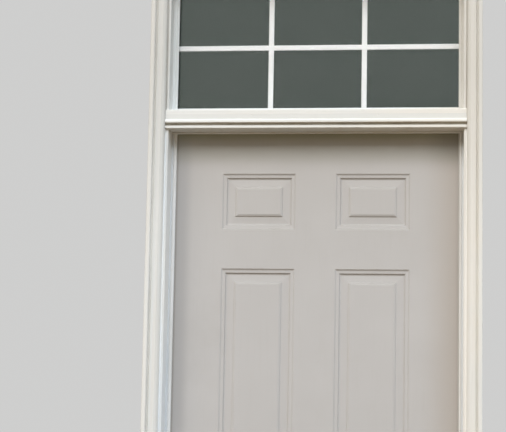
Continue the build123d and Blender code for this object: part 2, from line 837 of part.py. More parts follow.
# Sweep under the slab: a vinyl base with fins that wipe the threshold cap
fin_length = slab_lift - sweep_base - cap_top - sweep_clearance
with BuildPart() as door_sweep:
    with BuildSketch(Plane.YZ):
        with Locations((slab_middle, slab_lift)):
            Rectangle(sweep_depth, sweep_base, align=(Align.CENTER, Align.MAX))
        with Locations((slab_middle, slab_lift - sweep_base)):
            with GridLocations(sweep_fin_pitch, 0, 3, 1):
                Rectangle(sweep_fin, fin_length, align=(Align.CENTER, Align.MAX))
    extrude(amount=slab_edge - skin_thickness, both=True)
door_sweep.part.label = "door_sweep"
export_step(door_sweep.part, "parts/door_sweep.step")

# Butt hinges: a leaf in the jamb, a leaf in the slab's edge, knuckles that interlock round a pin
knuckle_height = (hinge_height - (knuckle_count - 1) * knuckle_gap) / knuckle_count
leaf_front = slab_front + leaf_margin


for label, leaf_x, knuckles in (
    ("jamb", rabbet_x + leaf_thickness / 2, range(0, knuckle_count, 2)),
    ("door", slab_edge - leaf_thickness / 2, range(1, knuckle_count, 2)),
):
    for number, hinge_z in enumerate(hinge_heights, 1):
        hinge_low = hinge_z - hinge_height / 2
        with BuildPart() as leaf:
            with BuildSketch(Plane.XY.offset(hinge_low)):
                with Locations((leaf_x, leaf_front)):
                    Rectangle(leaf_thickness, jamb_depth - leaf_front, align=(Align.CENTER, Align.MIN))
            extrude(amount=hinge_height)
            for knuckle in knuckles:
                with BuildSketch(Plane.XY.offset(hinge_low + knuckle * (knuckle_height + knuckle_gap))):
                    with Locations((leaf_x, jamb_depth - 1)):
                        Rectangle(leaf_thickness, barrel_radius / 2 + 1, align=(Align.CENTER, Align.MIN))
                    with Locations((hinge_x, hinge_y)):
                        Circle(barrel_radius)
                        Circle(pin_radius + pin_clearance, mode=Mode.SUBTRACT)
                extrude(amount=knuckle_height)
        leaf.part.label = f"hinge_{label}_leaf_{number}"
        export_step(leaf.part, f"parts/hinge_{label}_leaf_{number}.step")
with BuildPart() as hinge_pins:
    for hinge_z in hinge_heights:
        with BuildSketch(Plane.XY.offset(hinge_z - hinge_height / 2)):
            with Locations((hinge_x, hinge_y)):
                Circle(pin_radius)
        extrude(amount=hinge_height)
        with BuildSketch(Plane.XY.offset(hinge_z + hinge_height / 2)):
            with Locations((hinge_x, hinge_y)):
                Circle(pin_head_radius)
        extrude(amount=pin_head_height)
    for solid in hinge_pins.solids():
        chamfer(solid.edges().sort_by(Axis.Z)[-1], pin_head_height / 2)
hinge_pins.part.label = "hinge_pins"
export_step(hinge_pins.part, "parts/hinge_pins.step")

# Latch and deadbolt: a case with its faceplate in the slab's edge, a bolt that slides in it
lock_edge_plane = Plane(origin=(-slab_edge, 0, 0), x_dir=(0, 1, 0), z_dir=(-1, 0, 0))
for name, lock_z, size in (("latch_case", lever_z, latch_size), ("deadbolt_case", deadbolt_z, bolt_size)):
    with BuildPart() as case:
        with BuildSketch(lock_edge_plane):
            with Locations((slab_middle, -lock_z)):
                trim = 2 * faceplate_clearance
                Rectangle(faceplate_width - trim, faceplate_height - trim)
        extrude(amount=-faceplate_thickness)
        with BuildSketch(lock_edge_plane):
            with Locations((slab_middle, -lock_z)):
                Circle(case_radius)
        extrude(amount=-case_length)
        with BuildSketch(lock_edge_plane):
            with Locations((slab_middle, -lock_z)):
                Rectangle(*(extent + 2 * bolt_clearance for extent in size))
        extrude(amount=-bolt_length - case_end_gap, mode=Mode.SUBTRACT)
        with BuildSketch(Plane.XZ.offset(-slab_middle)):
            with Locations((lock_x, lock_z)):
                Circle(spindle_hole_radius)
        extrude(amount=slab_thickness / 2, both=True, mode=Mode.SUBTRACT)
    case.part.label = name
    export_step(case.part, f"parts/{name}.step")

with BuildPart() as latch_bolt:
    tip = -slab_edge - latch_throw
    low_y = slab_middle - latch_size[0] / 2
    high_y = slab_middle + latch_size[0] / 2
    with BuildSketch(Plane.XY.offset(lever_z)):
        with BuildLine():
            Polyline(
                (tip + latch_length, low_y),
                (tip + latch_length, high_y),
                (tip, high_y),
                (tip, high_y - latch_nose),
                (tip + latch_bevel, low_y),
                close=True,
            )
        make_face()
    extrude(amount=latch_size[1] / 2, both=True)
latch_bolt.part.label = "latch_bolt"
export_step(latch_bolt.part, "parts/latch_bolt.step")

with BuildPart() as deadbolt_bolt:
    with BuildSketch(lock_edge_plane):
        with Locations((slab_middle, -deadbolt_z)):
            Rectangle(*bolt_size)
    extrude(amount=-bolt_length)
    chamfer(deadbolt_bolt.faces().sort_by(Axis.X)[0].edges(), bolt_edge)
deadbolt_bolt.part.label = "deadbolt_bolt"
export_step(deadbolt_bolt.part, "parts/deadbolt_bolt.step")

# Strike plates let into the jamb, the latch's with a lip that reaches past the jamb
strike_plane = Plane(origin=(-rabbet_x, 0, 0), x_dir=(0, 1, 0), z_dir=(1, 0, 0))
for name, lock_z, size in (("latch_strike", lever_z, latch_size), ("deadbolt_strike", deadbolt_z, bolt_size)):
    with BuildPart() as strike:
        with BuildSketch(strike_plane):
            with Locations((slab_middle, lock_z)):
                Rectangle(strike_width, strike_height)
            if lock_z == lever_z:
                with Locations((slab_middle, lock_z)):
                    lip_size = jamb_depth + strike_lip - slab_middle
                    Rectangle(lip_size, strike_height / 2, align=(Align.MIN, Align.CENTER))
            with Locations((slab_middle, lock_z)):
                Rectangle(*(extent + 2 * strike_hole_margin for extent in size), mode=Mode.SUBTRACT)
        extrude(amount=-strike_thickness)
    strike.part.label = name
    export_step(strike.part, f"parts/{name}.step")

# Lever handles on both sides, joined by a square spindle, each turning in its rose
for label, face_y, toward in (("outside", slab_front, -1), ("inside", jamb_depth, 1)):
    centre = (lock_x, face_y, lever_z)
    outward = Plane(origin=centre, x_dir=(1, 0, 0), z_dir=(0, toward, 0))
    with BuildPart() as rose:
        with BuildSketch(outward):
            Circle(rose_radius)
        extrude(amount=rose_thickness)
        chamfer(rose.edges().sort_by(Axis.Y)[0 if toward < 0 else -1], rose_edge)
        with BuildSketch(outward):
            Circle(neck_radius + neck_clearance)
        extrude(amount=rose_thickness, mode=Mode.SUBTRACT)
    rose.part.label = f"{label}_rose"
    export_step(rose.part, f"parts/{label}_rose.step")

    with BuildPart() as lever:
        with BuildSketch(outward.offset(lever_standoff)):
            Circle(lever_root_radius)
            with Locations((lever_length - lever_tip_radius, 0)):
                Circle(lever_tip_radius)
            make_hull()
        extrude(amount=lever_thickness)
        fillet(lever.edges().filter_by(Plane.XZ), lever_edge)
        with BuildSketch(outward.offset(-neck_reach)):
            Circle(neck_radius)
        extrude(amount=lever_standoff + neck_reach + lever_thickness / 2)
        with BuildSketch(outward.offset(-neck_reach)):
            Rectangle(spindle_size + 2 * spindle_clearance, spindle_size + 2 * spindle_clearance)
        extrude(amount=spindle_socket, mode=Mode.SUBTRACT)
    lever.part.label = f"{label}_lever"
    export_step(lever.part, f"parts/{label}_lever.step")

with BuildPart() as lever_spindle:
    with BuildSketch(Plane.XZ.offset(-slab_middle)):
        with Locations((lock_x, lever_z)):
            Rectangle(spindle_size, spindle_size)
    extrude(amount=slab_thickness / 2 - neck_reach + spindle_socket, both=True)
lever_spindle.part.label = "lever_spindle"
export_step(lever_spindle.part, "parts/lever_spindle.step")

# Deadbolt outside: a tapered collar with a keyed plug and its body in the cross bore
with BuildPart() as deadbolt_cylinder:
    outward = Plane(origin=(lock_x, slab_front, deadbolt_z), x_dir=(1, 0, 0), z_dir=(0, -1, 0))
    with BuildSketch(outward):
        Circle(cylinder_radius)
    with BuildSketch(outward.offset(cylinder_height)):
        Circle(cylinder_face_radius)
    loft()
    chamfer(deadbolt_cylinder.edges().filter_by(GeomType.CIRCLE).sort_by(Axis.Y)[0], plug_relief * 2)
    with BuildSketch(outward.offset(cylinder_height)):
        Circle(plug_radius)
    extrude(amount=plug_relief)
    with BuildSketch(outward.offset(cylinder_height + plug_relief)):
        Rectangle(*keyway)
    extrude(amount=-keyway_depth, mode=Mode.SUBTRACT)
    with BuildSketch(outward):
        Circle(cylinder_body_radius)
    extrude(amount=-cylinder_body_reach)
    with BuildSketch(outward.offset(-cylinder_body_reach)):
        Circle(tailpiece_hole_radius)
    extrude(amount=2 * tailpiece_entry, mode=Mode.SUBTRACT)
deadbolt_cylinder.part.label = "deadbolt_cylinder"
export_step(deadbolt_cylinder.part, "parts/deadbolt_cylinder.step")

# Deadbolt inside: a rose, and a turn whose flat tail reaches through the case
inward_plane = Plane(origin=(lock_x, jamb_depth, deadbolt_z), x_dir=(1, 0, 0), z_dir=(0, 1, 0))
with BuildPart() as thumbturn_rose:
    with BuildSketch(inward_plane):
        Circle(rose_radius)
    extrude(amount=rose_thickness)
    chamfer(thumbturn_rose.edges().sort_by(Axis.Y)[-1], rose_edge)
    with BuildSketch(inward_plane):
        Circle(turn_hub_radius + neck_clearance)
    extrude(amount=rose_thickness, mode=Mode.SUBTRACT)
thumbturn_rose.part.label = "thumbturn_rose"
export_step(thumbturn_rose.part, "parts/thumbturn_rose.step")

with BuildPart() as thumbturn:
    with BuildSketch(inward_plane.offset(rose_thickness + turn_hub_height)):
        SlotOverall(turn_length, turn_width, rotation=90)
    extrude(amount=turn_height)
    chamfer(thumbturn.edges().filter_by(Plane.XZ).group_by(Axis.Y)[-1], turn_edge)
    with BuildSketch(inward_plane):
        Circle(turn_hub_radius)
    extrude(amount=rose_thickness + turn_hub_height)
    with BuildSketch(inward_plane):
        Rectangle(tailpiece[1], tailpiece[0])
    extrude(amount=slab_front + cylinder_body_reach - tailpiece_entry - jamb_depth)
thumbturn.part.label = "thumbturn"
export_step(thumbturn.part, "parts/thumbturn.step")
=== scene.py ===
import math

import bpy
import numpy as np
from mathutils import Matrix, Vector


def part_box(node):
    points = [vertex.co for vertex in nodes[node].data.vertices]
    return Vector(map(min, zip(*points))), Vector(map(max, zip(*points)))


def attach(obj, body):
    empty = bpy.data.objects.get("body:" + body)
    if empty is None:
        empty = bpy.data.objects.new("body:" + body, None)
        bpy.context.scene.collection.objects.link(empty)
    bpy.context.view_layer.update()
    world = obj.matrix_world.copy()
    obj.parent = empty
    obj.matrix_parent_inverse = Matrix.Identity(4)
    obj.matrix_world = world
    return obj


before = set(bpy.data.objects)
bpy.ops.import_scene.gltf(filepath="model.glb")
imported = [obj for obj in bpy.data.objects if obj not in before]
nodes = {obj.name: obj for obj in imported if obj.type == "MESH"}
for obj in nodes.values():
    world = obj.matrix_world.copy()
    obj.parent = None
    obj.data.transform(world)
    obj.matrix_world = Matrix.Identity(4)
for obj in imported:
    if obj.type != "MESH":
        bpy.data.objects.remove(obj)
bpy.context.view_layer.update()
print("frame loaded:", len(nodes), "nodes")

# lines of the door set that the finishes and the added pieces share, in metres
lines = {
    "rabbet": 0.457,          # inner face of the jamb behind the stop, each side of the middle
    "stop": 0.4443,           # face of the stop
    "slabEdge": 0.454,
    "transomLow": 2.09245,
    "jambTop": 2.5352,
    "casingInner": 0.4538,
    "casingHead": 2.51295,    # inner edge of the head moulding
    "stripSide": 0.4283,      # inner edge of the side strips
    "stripHead": 2.0293,      # lower edge of the head strip
    "lockX": -0.3937,
    "leverZ": 0.952,
    "deadboltZ": 1.092,
}


class Value:
    # wraps a socket, so that shader sums read as plain Python
    def __init__(self, finish, socket):
        self.finish = finish
        self.socket = socket

    def calc(self, operation, first, second=None):
        values = [first] if second is None else [first, second]
        return self.finish.node("ShaderNodeMath", {"operation": operation}, dict(enumerate(values)))

    def __add__(self, other):
        return self.calc("ADD", self, other)

    def __sub__(self, other):
        return self.calc("SUBTRACT", self, other)

    def __rsub__(self, other):
        return self.calc("SUBTRACT", other, self)

    def __mul__(self, other):
        return self.calc("MULTIPLY", self, other)

    def __pow__(self, other):
        return self.calc("POWER", self, other)

    def __mod__(self, other):
        return self.calc("FLOORED_MODULO", self, other)

    def __abs__(self):
        return self.calc("ABSOLUTE", self)

    __radd__ = __add__
    __rmul__ = __mul__


class Finish:
    # one material: `node` adds any node, and the rest are short names for the nodes used most
    def __init__(self, name, tree=None, place="Object"):
        if tree is None:
            self.material = bpy.data.materials.new(name)
            self.material.use_nodes = True
            tree = self.material.node_tree
        self.tree = tree
        self.tree.nodes.clear()
        self.spot = self.node("ShaderNodeTexCoord", output=place)
        split = self.node("ShaderNodeSeparateXYZ", inputs={0: self.spot})
        self.x, self.y, self.z = (Value(self, socket) for socket in split.socket.node.outputs)

    def node(self, kind, settings=None, inputs=None, output=0):
        # a node of a kind, with its settings first and then the values or links of its sockets
        made = self.tree.nodes.new(kind)
        for key, setting in (settings or {}).items():
            setattr(made, key, setting)
        for key, value in (inputs or {}).items():
            if isinstance(value, Value):
                self.tree.links.new(value.socket, made.inputs[key])
            elif isinstance(value, tuple) and made.inputs[key].type == "RGBA" and len(value) == 3:
                made.inputs[key].default_value = (*value, 1)
            else:
                made.inputs[key].default_value = value
        return Value(self, made.outputs[output]) if len(made.outputs) else None

    def noise(self, scale, detail=3.0, rough=0.5, stretch=(1, 1, 1), bend=0.0):
        place = self.node("ShaderNodeMapping", inputs={"Vector": self.spot, "Scale": stretch})
        sockets = {"Vector": place, "Scale": scale, "Detail": detail, "Roughness": rough}
        sockets["Distortion"] = bend
        return self.node("ShaderNodeTexNoise", inputs=sockets)

    def cells(self, scale, stretch=(1, 1, 1), feature="F1"):
        place = self.node("ShaderNodeMapping", inputs={"Vector": self.spot, "Scale": stretch})
        return self.node("ShaderNodeTexVoronoi", {"feature": feature}, {"Vector": place, "Scale": scale})

    def rise(self, value, low, high):
        # 0 below low, 1 above high, smooth between
        sockets = {"Value": value, "From Min": low, "From Max": high}
        return self.node("ShaderNodeMapRange", {"interpolation_type": "SMOOTHSTEP"}, sockets)

    def between(self, value, low, high, soft):
        # 1 from low to high, fading to 0 over soft on either side
        return self.rise(value, low - soft, low) * (1 - self.rise(value, high, high + soft))

    def mix(self, share, first, second):
        colours = {0: share, 6: first, 7: second}
        return self.node("ShaderNodeMix", {"data_type": "RGBA"}, colours, output=2)

    def lay(self, under, over, value, reach):
        # under gives way to over, whose share is the value's rise from low to high times its most
        low, high, most = reach
        share = self.rise(value, low, high)
        return self.mix(share if most == 1 else share * most, under, over)

    def facing(self, axis):
        # the surface's own normal along x, y or z, in the frame's directions
        normal = self.node("ShaderNodeTexCoord", output="Normal")
        return self.node("ShaderNodeSeparateXYZ", inputs={0: normal}, output="XYZ".index(axis))

    def dress(self, colour, roughness, height, depth, **constants):
        bump = self.node("ShaderNodeBump", inputs={"Height": height, "Distance": depth, "Strength": 1.0})
        sockets = {"Base Color": colour, "Roughness": roughness, "Normal": bump}
        sockets.update({key.replace("_", " "): value for key, value in constants.items()})
        shader = self.node("ShaderNodeBsdfPrincipled", inputs=sockets)
        self.node("ShaderNodeOutputMaterial", inputs={"Surface": shader})
        return self.material


def weighed(start, weights, *values):
    # start, plus each value times its own weight
    return sum((value * weight for value, weight in zip(values, weights)), start)


def floorSplash(paint, look):
    # Patches of a noise, and the splashed dirt by the floor: the patches times one less the rise of the
    # height, which a second noise makes wander.
    patches = paint.rise(paint.noise(*look["patches"]), *look["patchEdges"])
    wander = paint.noise(*look["splashEdge"]) * look["splashWander"]
    return patches, (1 - paint.rise(paint.z + wander, *look["splashLines"])) * patches


# Casing, and the trim over the joint of door and transom: cream paint on wood. Here and below, a
# noise is its scale, detail, roughness and stretch. A cover is where a tone starts, where it is whole, and
# the most that shows of it.
mouldingLook = {
    "cream": (0.84, 0.835, 0.80),
    # painted light: a warmer tone toward the right side
    "sideLightTone": (0.865, 0.825, 0.75),
    "cool": (0.805, 0.815, 0.80),
    "warm": (0.78, 0.74, 0.67),
    "streak": (0.735, 0.725, 0.68),
    "high": (0.66, 0.64, 0.59),       # greyer toward the top, painted shade
    "dirt": (0.30, 0.265, 0.20),
    # painted shade on the trim's board
    "board": (0.735, 0.74, 0.71),
    "wood": (0.52, 0.37, 0.22),
    "topWoodShaded": (0.33, 0.285, 0.23),   # never painted, and darkened further as painted shade
    "sideLightCover": (-0.45, 0.5, 1),
    "coolCover": (0.36, 0.68, 0.6),
    "warmCover": (0.5, 0.78, 0.45),
    "streakCover": (0.44, 0.7, 0.4),
    "highShadeCover": (1.55, 2.3, 0.78),
    "drift": (2.1, 4, 0.6),
    "streaks": (420, 3, 0.55),
    "broad": (75, 2, 0.5),
    "grain": (190, 4, 0.6),
    "brushed": 0.025,                 # how much less the brush marks change along the run
    "patches": (9, 4, 0.7, (1, 1, 0.35)),
    "patchEdges": (0.38, 0.7),
    "splashEdge": (14, 4),
    "splashWander": 0.1,
    "splashLines": (0.06, 0.26),
    "splashShare": 0.26,
    "specks": 210,
    "speckEdges": (0.05, 0.12),
    "speckPatches": (30, 2),
    "speckPatchEdges": (0.56, 0.7),
    "speckShare": 0.25,
    "casingGroove": (0.0268, 0.0322, 0.03, 0.15),   # lowest and highest line, least and most grime
    # painted shade in the groove under the trim's lip
    "trimGrooveShade": (0.0082, 0.0146, 0.5, 0.8),
    "grooveSoft": 0.0012,
    "boardLines": (0.0285, 0.0415),   # painted shade on the trim's flat board, above its lower edge
    "boardSoft": 0.003,
    "boardShare": 0.65,
    "nailLine": 0.0395,
    "nailPitch": 0.38,
    "nailRadii": (0.0017, 0.0027),
    "nailShare": 0.16,
    "backLines": (-0.0006, -0.0002),  # the back was never painted
    "backShare": 0.85,
    "topFacing": (0.8, 0.95),
    "topLines": (2.54, 2.55),
    "topLeast": 0.85,
    "gloss": 0.42,
    "roughen": (0.12, 0.3, 0.3),      # by the streaks, the grime and the bare wood
    "raise": (0.55, 0.5, -1.2),       # by the streaks, the broad marks and the nails
    "depth": 0.00022,
}


def mouldingPaint(name, run, offset, groove, board=0.0):
    # Cream paint: slow drifts of tone, brush marks along the run, dust in the groove, filled nails. Painted
    # light and shade:
    # warmer to the right, greyer toward the top, dark bare tops, and on the trim its groove and board. A
    # nail is one less the
    # rise of the distance from it: the root of the squares along and across the run.
    look = mouldingLook
    paint = Finish(name)
    fine = look["brushed"]
    along, stretch = (paint.z, (1, 1, fine)) if run == "z" else (paint.x, (fine, 1, 1))
    across = offset(paint)
    streaks = paint.noise(*look["streaks"], stretch)
    broad = paint.noise(*look["broad"], stretch)
    # painted light: warmer toward the right side
    tone = paint.lay(look["cream"], look["sideLightTone"], paint.x, look["sideLightCover"])
    tone = paint.lay(tone, look["cool"], paint.noise(*look["drift"]), look["coolCover"])
    tone = paint.lay(tone, look["warm"], broad, look["warmCover"])
    tone = paint.lay(tone, look["streak"], streaks, look["streakCover"])
    if not board:    # the trim stays cream
        # painted shade: greyer toward the top
        tone = paint.lay(tone, look["high"], paint.z, look["highShadeCover"])
    # grime in the groove; in the trim's groove it is mostly painted shade
    low, high, grimeAndShadeLeast, grimeAndShadeMost = groove
    hollow = paint.between(across, low, high, look["grooveSoft"])
    patches, splash = floorSplash(paint, look)
    grime = hollow * (grimeAndShadeLeast + patches * (grimeAndShadeMost - grimeAndShadeLeast)) + splash * look["splashShare"]
    specks = 1 - paint.rise(paint.cells(look["specks"]), *look["speckEdges"])
    speckPatches = paint.rise(paint.noise(*look["speckPatches"]), *look["speckPatchEdges"])
    grime = grime + specks * speckPatches * look["speckShare"]
    tone = paint.mix(grime, tone, look["dirt"])
    # painted shade on the trim's flat board below the bead
    if board:
        flat = paint.between(across, *look["boardLines"], look["boardSoft"])
        tone = paint.mix(flat * board, tone, look["board"])
    nailAlong = along % look["nailPitch"] - look["nailPitch"] / 2
    nailAcross = across - look["nailLine"]
    away = (nailAlong * nailAlong + nailAcross * nailAcross) ** 0.5
    nail = 1 - paint.rise(away, *look["nailRadii"])
    tone = paint.mix(nail * look["nailShare"], tone, look["warm"])
    bare = paint.rise(paint.y, *look["backLines"])
    grain = paint.noise(*look["grain"], stretch)
    tone = paint.mix(bare * look["backShare"], tone, paint.mix(grain, look["wood"], look["warm"]))
    # the tops: bare wood, darkened as painted shade
    top = paint.rise(paint.facing("Z"), *look["topFacing"]) * paint.rise(paint.z, *look["topLines"])
    tone = paint.mix(top * (look["topLeast"] + grain * (1 - look["topLeast"])), tone, look["topWoodShaded"])
    rough = weighed(look["gloss"], look["roughen"], streaks, grime, bare + top)
    return paint.dress(tone, rough, weighed(0, look["raise"], streaks, broad, nail), look["depth"])


# jambs, heads and stops: off-white paint, raw ends and primed outer faces
jambLook = {
    "white": (0.895, 0.895, 0.87),
    "cool": (0.86, 0.895, 0.915),
    "warm": (0.81, 0.765, 0.68),
    # painted light: a warmer tone toward the right side
    "sideLightTone": (0.90, 0.86, 0.80),
    # painted shade: greyer toward the top
    "high": (0.72, 0.71, 0.67),
    "dirt": (0.27, 0.24, 0.19),
    "primer": (0.70, 0.70, 0.68),
    "pineLight": (0.66, 0.48, 0.29),
    "pineDark": (0.43, 0.26, 0.13),
    # bare wood on the tops, darkened as painted shade
    "topWoodShaded": (0.33, 0.285, 0.23),
    "coolCover": (0.35, 0.68, 1),
    "warmCover": (0.52, 0.8, 0.4),
    "sideLightCover": (-0.3, 0.45, 0.8),
    "highShadeCover": (1.55, 2.3, 0.7),
    "drift": (1.7, 4, 0.6),
    "streaks": (380, 3, 0.55),
    "broad": (60, 2, 0.5),
    "brushed": 0.02,
    "patches": (11, 4, 0.7),
    "patchEdges": (0.4, 0.72),
    "splashEdge": (16, 4),
    "splashWander": 0.09,
    "splashLines": (0.05, 0.2),
    "splashShare": 0.4,
    "primedSide": (0.0172, 0.0186),   # beyond the rabbet's face, where paint gives way to primer
    "primedTop": (0.003, 0.001),      # below the jambs' top
    "jointsPerMetre": 2.6,            # finger joints under the primer
    "jointStretch": (0.01, 0.01, 1),
    "jointEdges": (0.0, 0.004),
    "jointLeast": 0.5,
    "primerWorn": (0.5, 0.85, 0.25),
    "topFacing": (0.8, 0.95),
    "topLines": (2.5, 2.51),
    "topWorn": 0.3,
    "footLines": (0.0, 0.004),
    "rings": {"Scale": 90.0, "Distortion": 2.0, "Detail": 2.0},
    "gloss": 0.38,
    "roughen": (0.12, 0.35, 0.2),     # by the streaks, the primer and the splashes
    "raise": (0.5, 0.5),              # by the streaks and the broad marks
    "depth": 0.0002,
}


def jambPaint(name, run):
    # Off-white paint with brush marks along the board, and primer outside the opening. On the raw ends,
    # growth rings: the saw-tooth of the distance from the upright line through the origin.
    look = jambLook
    paint = Finish(name)
    fine = look["brushed"]
    stretch = (1, 1, fine) if run == "z" else (fine, 1, 1)
    streaks = paint.noise(*look["streaks"], stretch)
    broad = paint.noise(*look["broad"], stretch)
    tone = paint.lay(look["white"], look["cool"], paint.noise(*look["drift"]), look["coolCover"])
    tone = paint.lay(tone, look["warm"], broad, look["warmCover"])
    # painted light: warmer toward the right side
    tone = paint.lay(tone, look["sideLightTone"], paint.x, look["sideLightCover"])
    # painted shade: greyer toward the uprights' top
    if run == "z":
        tone = paint.lay(tone, look["high"], paint.z, look["highShadeCover"])
    splash = floorSplash(paint, look)[1]
    tone = paint.mix(splash * look["splashShare"], tone, look["dirt"])
    near, far = look["primedSide"]
    primed = paint.rise(abs(paint.x), lines["rabbet"] + near, lines["rabbet"] + far)
    near, far = look["primedTop"]
    primed = primed + (1 - primed) * paint.rise(paint.z, lines["jambTop"] - near, lines["jambTop"] - far)
    boards = paint.cells(look["jointsPerMetre"], look["jointStretch"], "DISTANCE_TO_EDGE")
    joints = paint.rise(boards, *look["jointEdges"]) * (1 - look["jointLeast"]) + look["jointLeast"]
    primer = paint.mix(joints, look["pineLight"], look["primer"])
    primer = paint.lay(primer, look["pineLight"], broad, look["primerWorn"])
    tone = paint.mix(primed, tone, primer)
    # the tops: bare wood, darkened as painted shade
    top = paint.rise(paint.facing("Z"), *look["topFacing"]) * paint.rise(paint.z, *look["topLines"])
    tone = paint.mix(top * (1 - streaks * look["topWorn"]), tone, look["topWoodShaded"])
    ends = paint.rise(abs(paint.facing(run.upper())), *look["topFacing"])
    if run == "z":
        ends = ends * (1 - paint.rise(paint.z, *look["footLines"]))
    waves = {"wave_type": "RINGS", "rings_direction": "Z", "wave_profile": "SAW"}
    rings = paint.node("ShaderNodeTexWave", waves, {"Vector": paint.spot, **look["rings"]})
    tone = paint.mix(ends, tone, paint.mix(rings, look["pineLight"], look["pineDark"]))
    rough = weighed(look["gloss"], look["roughen"], streaks, primed, splash)
    return paint.dress(tone, rough, weighed(0, look["raise"], streaks, broad), look["depth"])


# door skins: warm grey paint on pressed steel
doorLook = {
    "grey": (0.525, 0.507, 0.492),
    "light": (0.56, 0.542, 0.528),
    "brown": (0.46, 0.435, 0.405),
    "dust": (0.42, 0.39, 0.345),
    "ledgeDustAndShade": (0.375, 0.352, 0.325),
    "scuff": (0.36, 0.34, 0.32),
    # painted shade along the hinge and lock margins
    "hingeMarginShade": (0.488, 0.449, 0.413),
    "lockMarginShade": (0.455, 0.44, 0.43),
    # painted shade under the head strip
    "headShadow": (0.25, 0.258, 0.125),
    "corner": (0.2, 0.19, 0.165),     # painted shade in the hinge side's upper corner
    "stripSideShadow": (0.25, 0.23, 0.19),
    "lightCover": (0.34, 0.68, 1),
    "brownCover": (0.5, 0.8, 0.22),
    "dustCover": (0.5, 0.85, 0.12),
    "highShadeCover": (1.4, 1.95, 0.3),    # painted shade: browner toward the top, under the head
    "hingeCover": (0.31, 0.42, 0.9),
    "drift": (1.35, 4, 0.62),
    "cloud": (6.5, 4, 0.6),
    "stipple": (900, 2, 0.6),
    "brushed": (260, 3, 0.55, (1, 1, 0.03)),
    "waves": (34, 2),
    "patches": (14, 4, 0.65),
    "patchEdges": (0.36, 0.7),
    "splashEdge": (8, 4),
    "splashWander": 0.16,
    "splashLines": (0.12, 0.46),
    "splashShare": 0.32,
    "ledgeFacing": (0.05, 0.5),
    "ledgeShares": (0.6, 0.3),        # everywhere, and more in the patches
    "handSquash": 1.6,                # hands reach less far across than up and down
    "handReach": (0.045, 0.15),
    "scuffs": (85, 4, 0.7),
    "scuffEdges": (0.55, 0.68),
    "scuffShares": (0.2, 0.3),        # inside and outside
    "lockLines": (-0.405, -0.372),
    "seamReach": (0.0068, 0.0044),    # the painted shadow on the skin beside the strips: far end, and solid part
    "seamShare": 0.42,
    "headReach": (0.028, 0.002),
    "headShare": 0.42,
    "headShade": (1.925, 1.965),      # heights between which the shade under the head grows whole
    "headShadeShare": 0.16,
    "cornerAcross": (0.3, 0.42),
    "cornerUp": (1.9, 2.0),
    "cornerShare": 0.5,
    "gloss": 0.46,
    "roughen": (0.1, 0.1, 0.15, -0.1),    # by the stipple, the ledges, the splashes and the wear
    "raise": (0.35, 0.2, 1.1),            # by the stipple, the brushing and the slow waves
    "depth": 0.00016,
}


def doorPaint(name, front):
    # Rolled paint: fine stipple, slow drifts, faint brushing, and dust with painted shade on ledges. Scuffs
    # by the handle fall
    # off with the distance from it: the root of the squares, with the one across squashed.
    look = doorLook
    paint = Finish(name)
    stipple = paint.noise(*look["stipple"])
    brushed = paint.noise(*look["brushed"])
    tone = paint.lay(look["grey"], look["light"], paint.noise(*look["drift"]), look["lightCover"])
    tone = paint.lay(tone, look["brown"], paint.noise(*look["cloud"]), look["brownCover"])
    tone = paint.lay(tone, look["dust"], brushed, look["dustCover"])
    ledgeDustAndShade = paint.rise(paint.facing("Z"), *look["ledgeFacing"])
    patches, splash = floorSplash(paint, look)
    tone = paint.mix(splash * look["splashShare"], tone, look["dust"])
    always, inPatches = look["ledgeShares"]
    # dust and painted shade on what faces up
    tone = paint.mix(ledgeDustAndShade * (always + patches * inPatches), tone, look["ledgeDustAndShade"])
    across, up = paint.x - lines["lockX"], paint.z - lines["leverZ"]
    away = (across * across * look["handSquash"] + up * up) ** 0.5
    scuffs = paint.rise(paint.noise(*look["scuffs"]), *look["scuffEdges"])
    worn = (1 - paint.rise(away, *look["handReach"])) * scuffs
    tone = paint.mix(worn * look["scuffShares"][front], tone, look["scuff"])
    if front:
        # weather side, painted shade: browner high up and at the margins,
        # dark under the head, in the upper corner and by the strips
        tone = paint.lay(tone, look["brown"], paint.z, look["highShadeCover"])
        # painted shade along both margins, where the jambs shade the skin
        tone = paint.lay(tone, look["hingeMarginShade"], paint.x, look["hingeCover"])
        tone = paint.mix(1 - paint.rise(paint.x, *look["lockLines"]), tone, look["lockMarginShade"])
        # painted shade under the head
        far, near = look["headReach"]
        below = paint.rise(paint.z, lines["stripHead"] - far, lines["stripHead"] - near)
        shade = paint.rise(paint.z, *look["headShade"]) * look["headShadeShare"]
        below = below * look["headShare"] + shade
        tone = paint.mix(below, tone, look["headShadow"])
        # painted shade in the upper hinge-side corner
        corner = paint.rise(paint.x, *look["cornerAcross"]) * paint.rise(paint.z, *look["cornerUp"])
        tone = paint.mix(corner * look["cornerShare"], tone, look["corner"])
        # painted shadow beside the side strips
        far, near = look["seamReach"]
        beside = paint.rise(-1 * paint.x, lines["stripSide"] - far, lines["stripSide"] - near)
        tone = paint.mix(beside * look["seamShare"], tone, look["stripSideShadow"])
    rough = weighed(look["gloss"], look["roughen"], stipple, ledgeDustAndShade, splash, worn)
    height = weighed(0, look["raise"], stipple, brushed, paint.noise(*look["waves"]))
    return paint.dress(tone, rough, height, look["depth"])


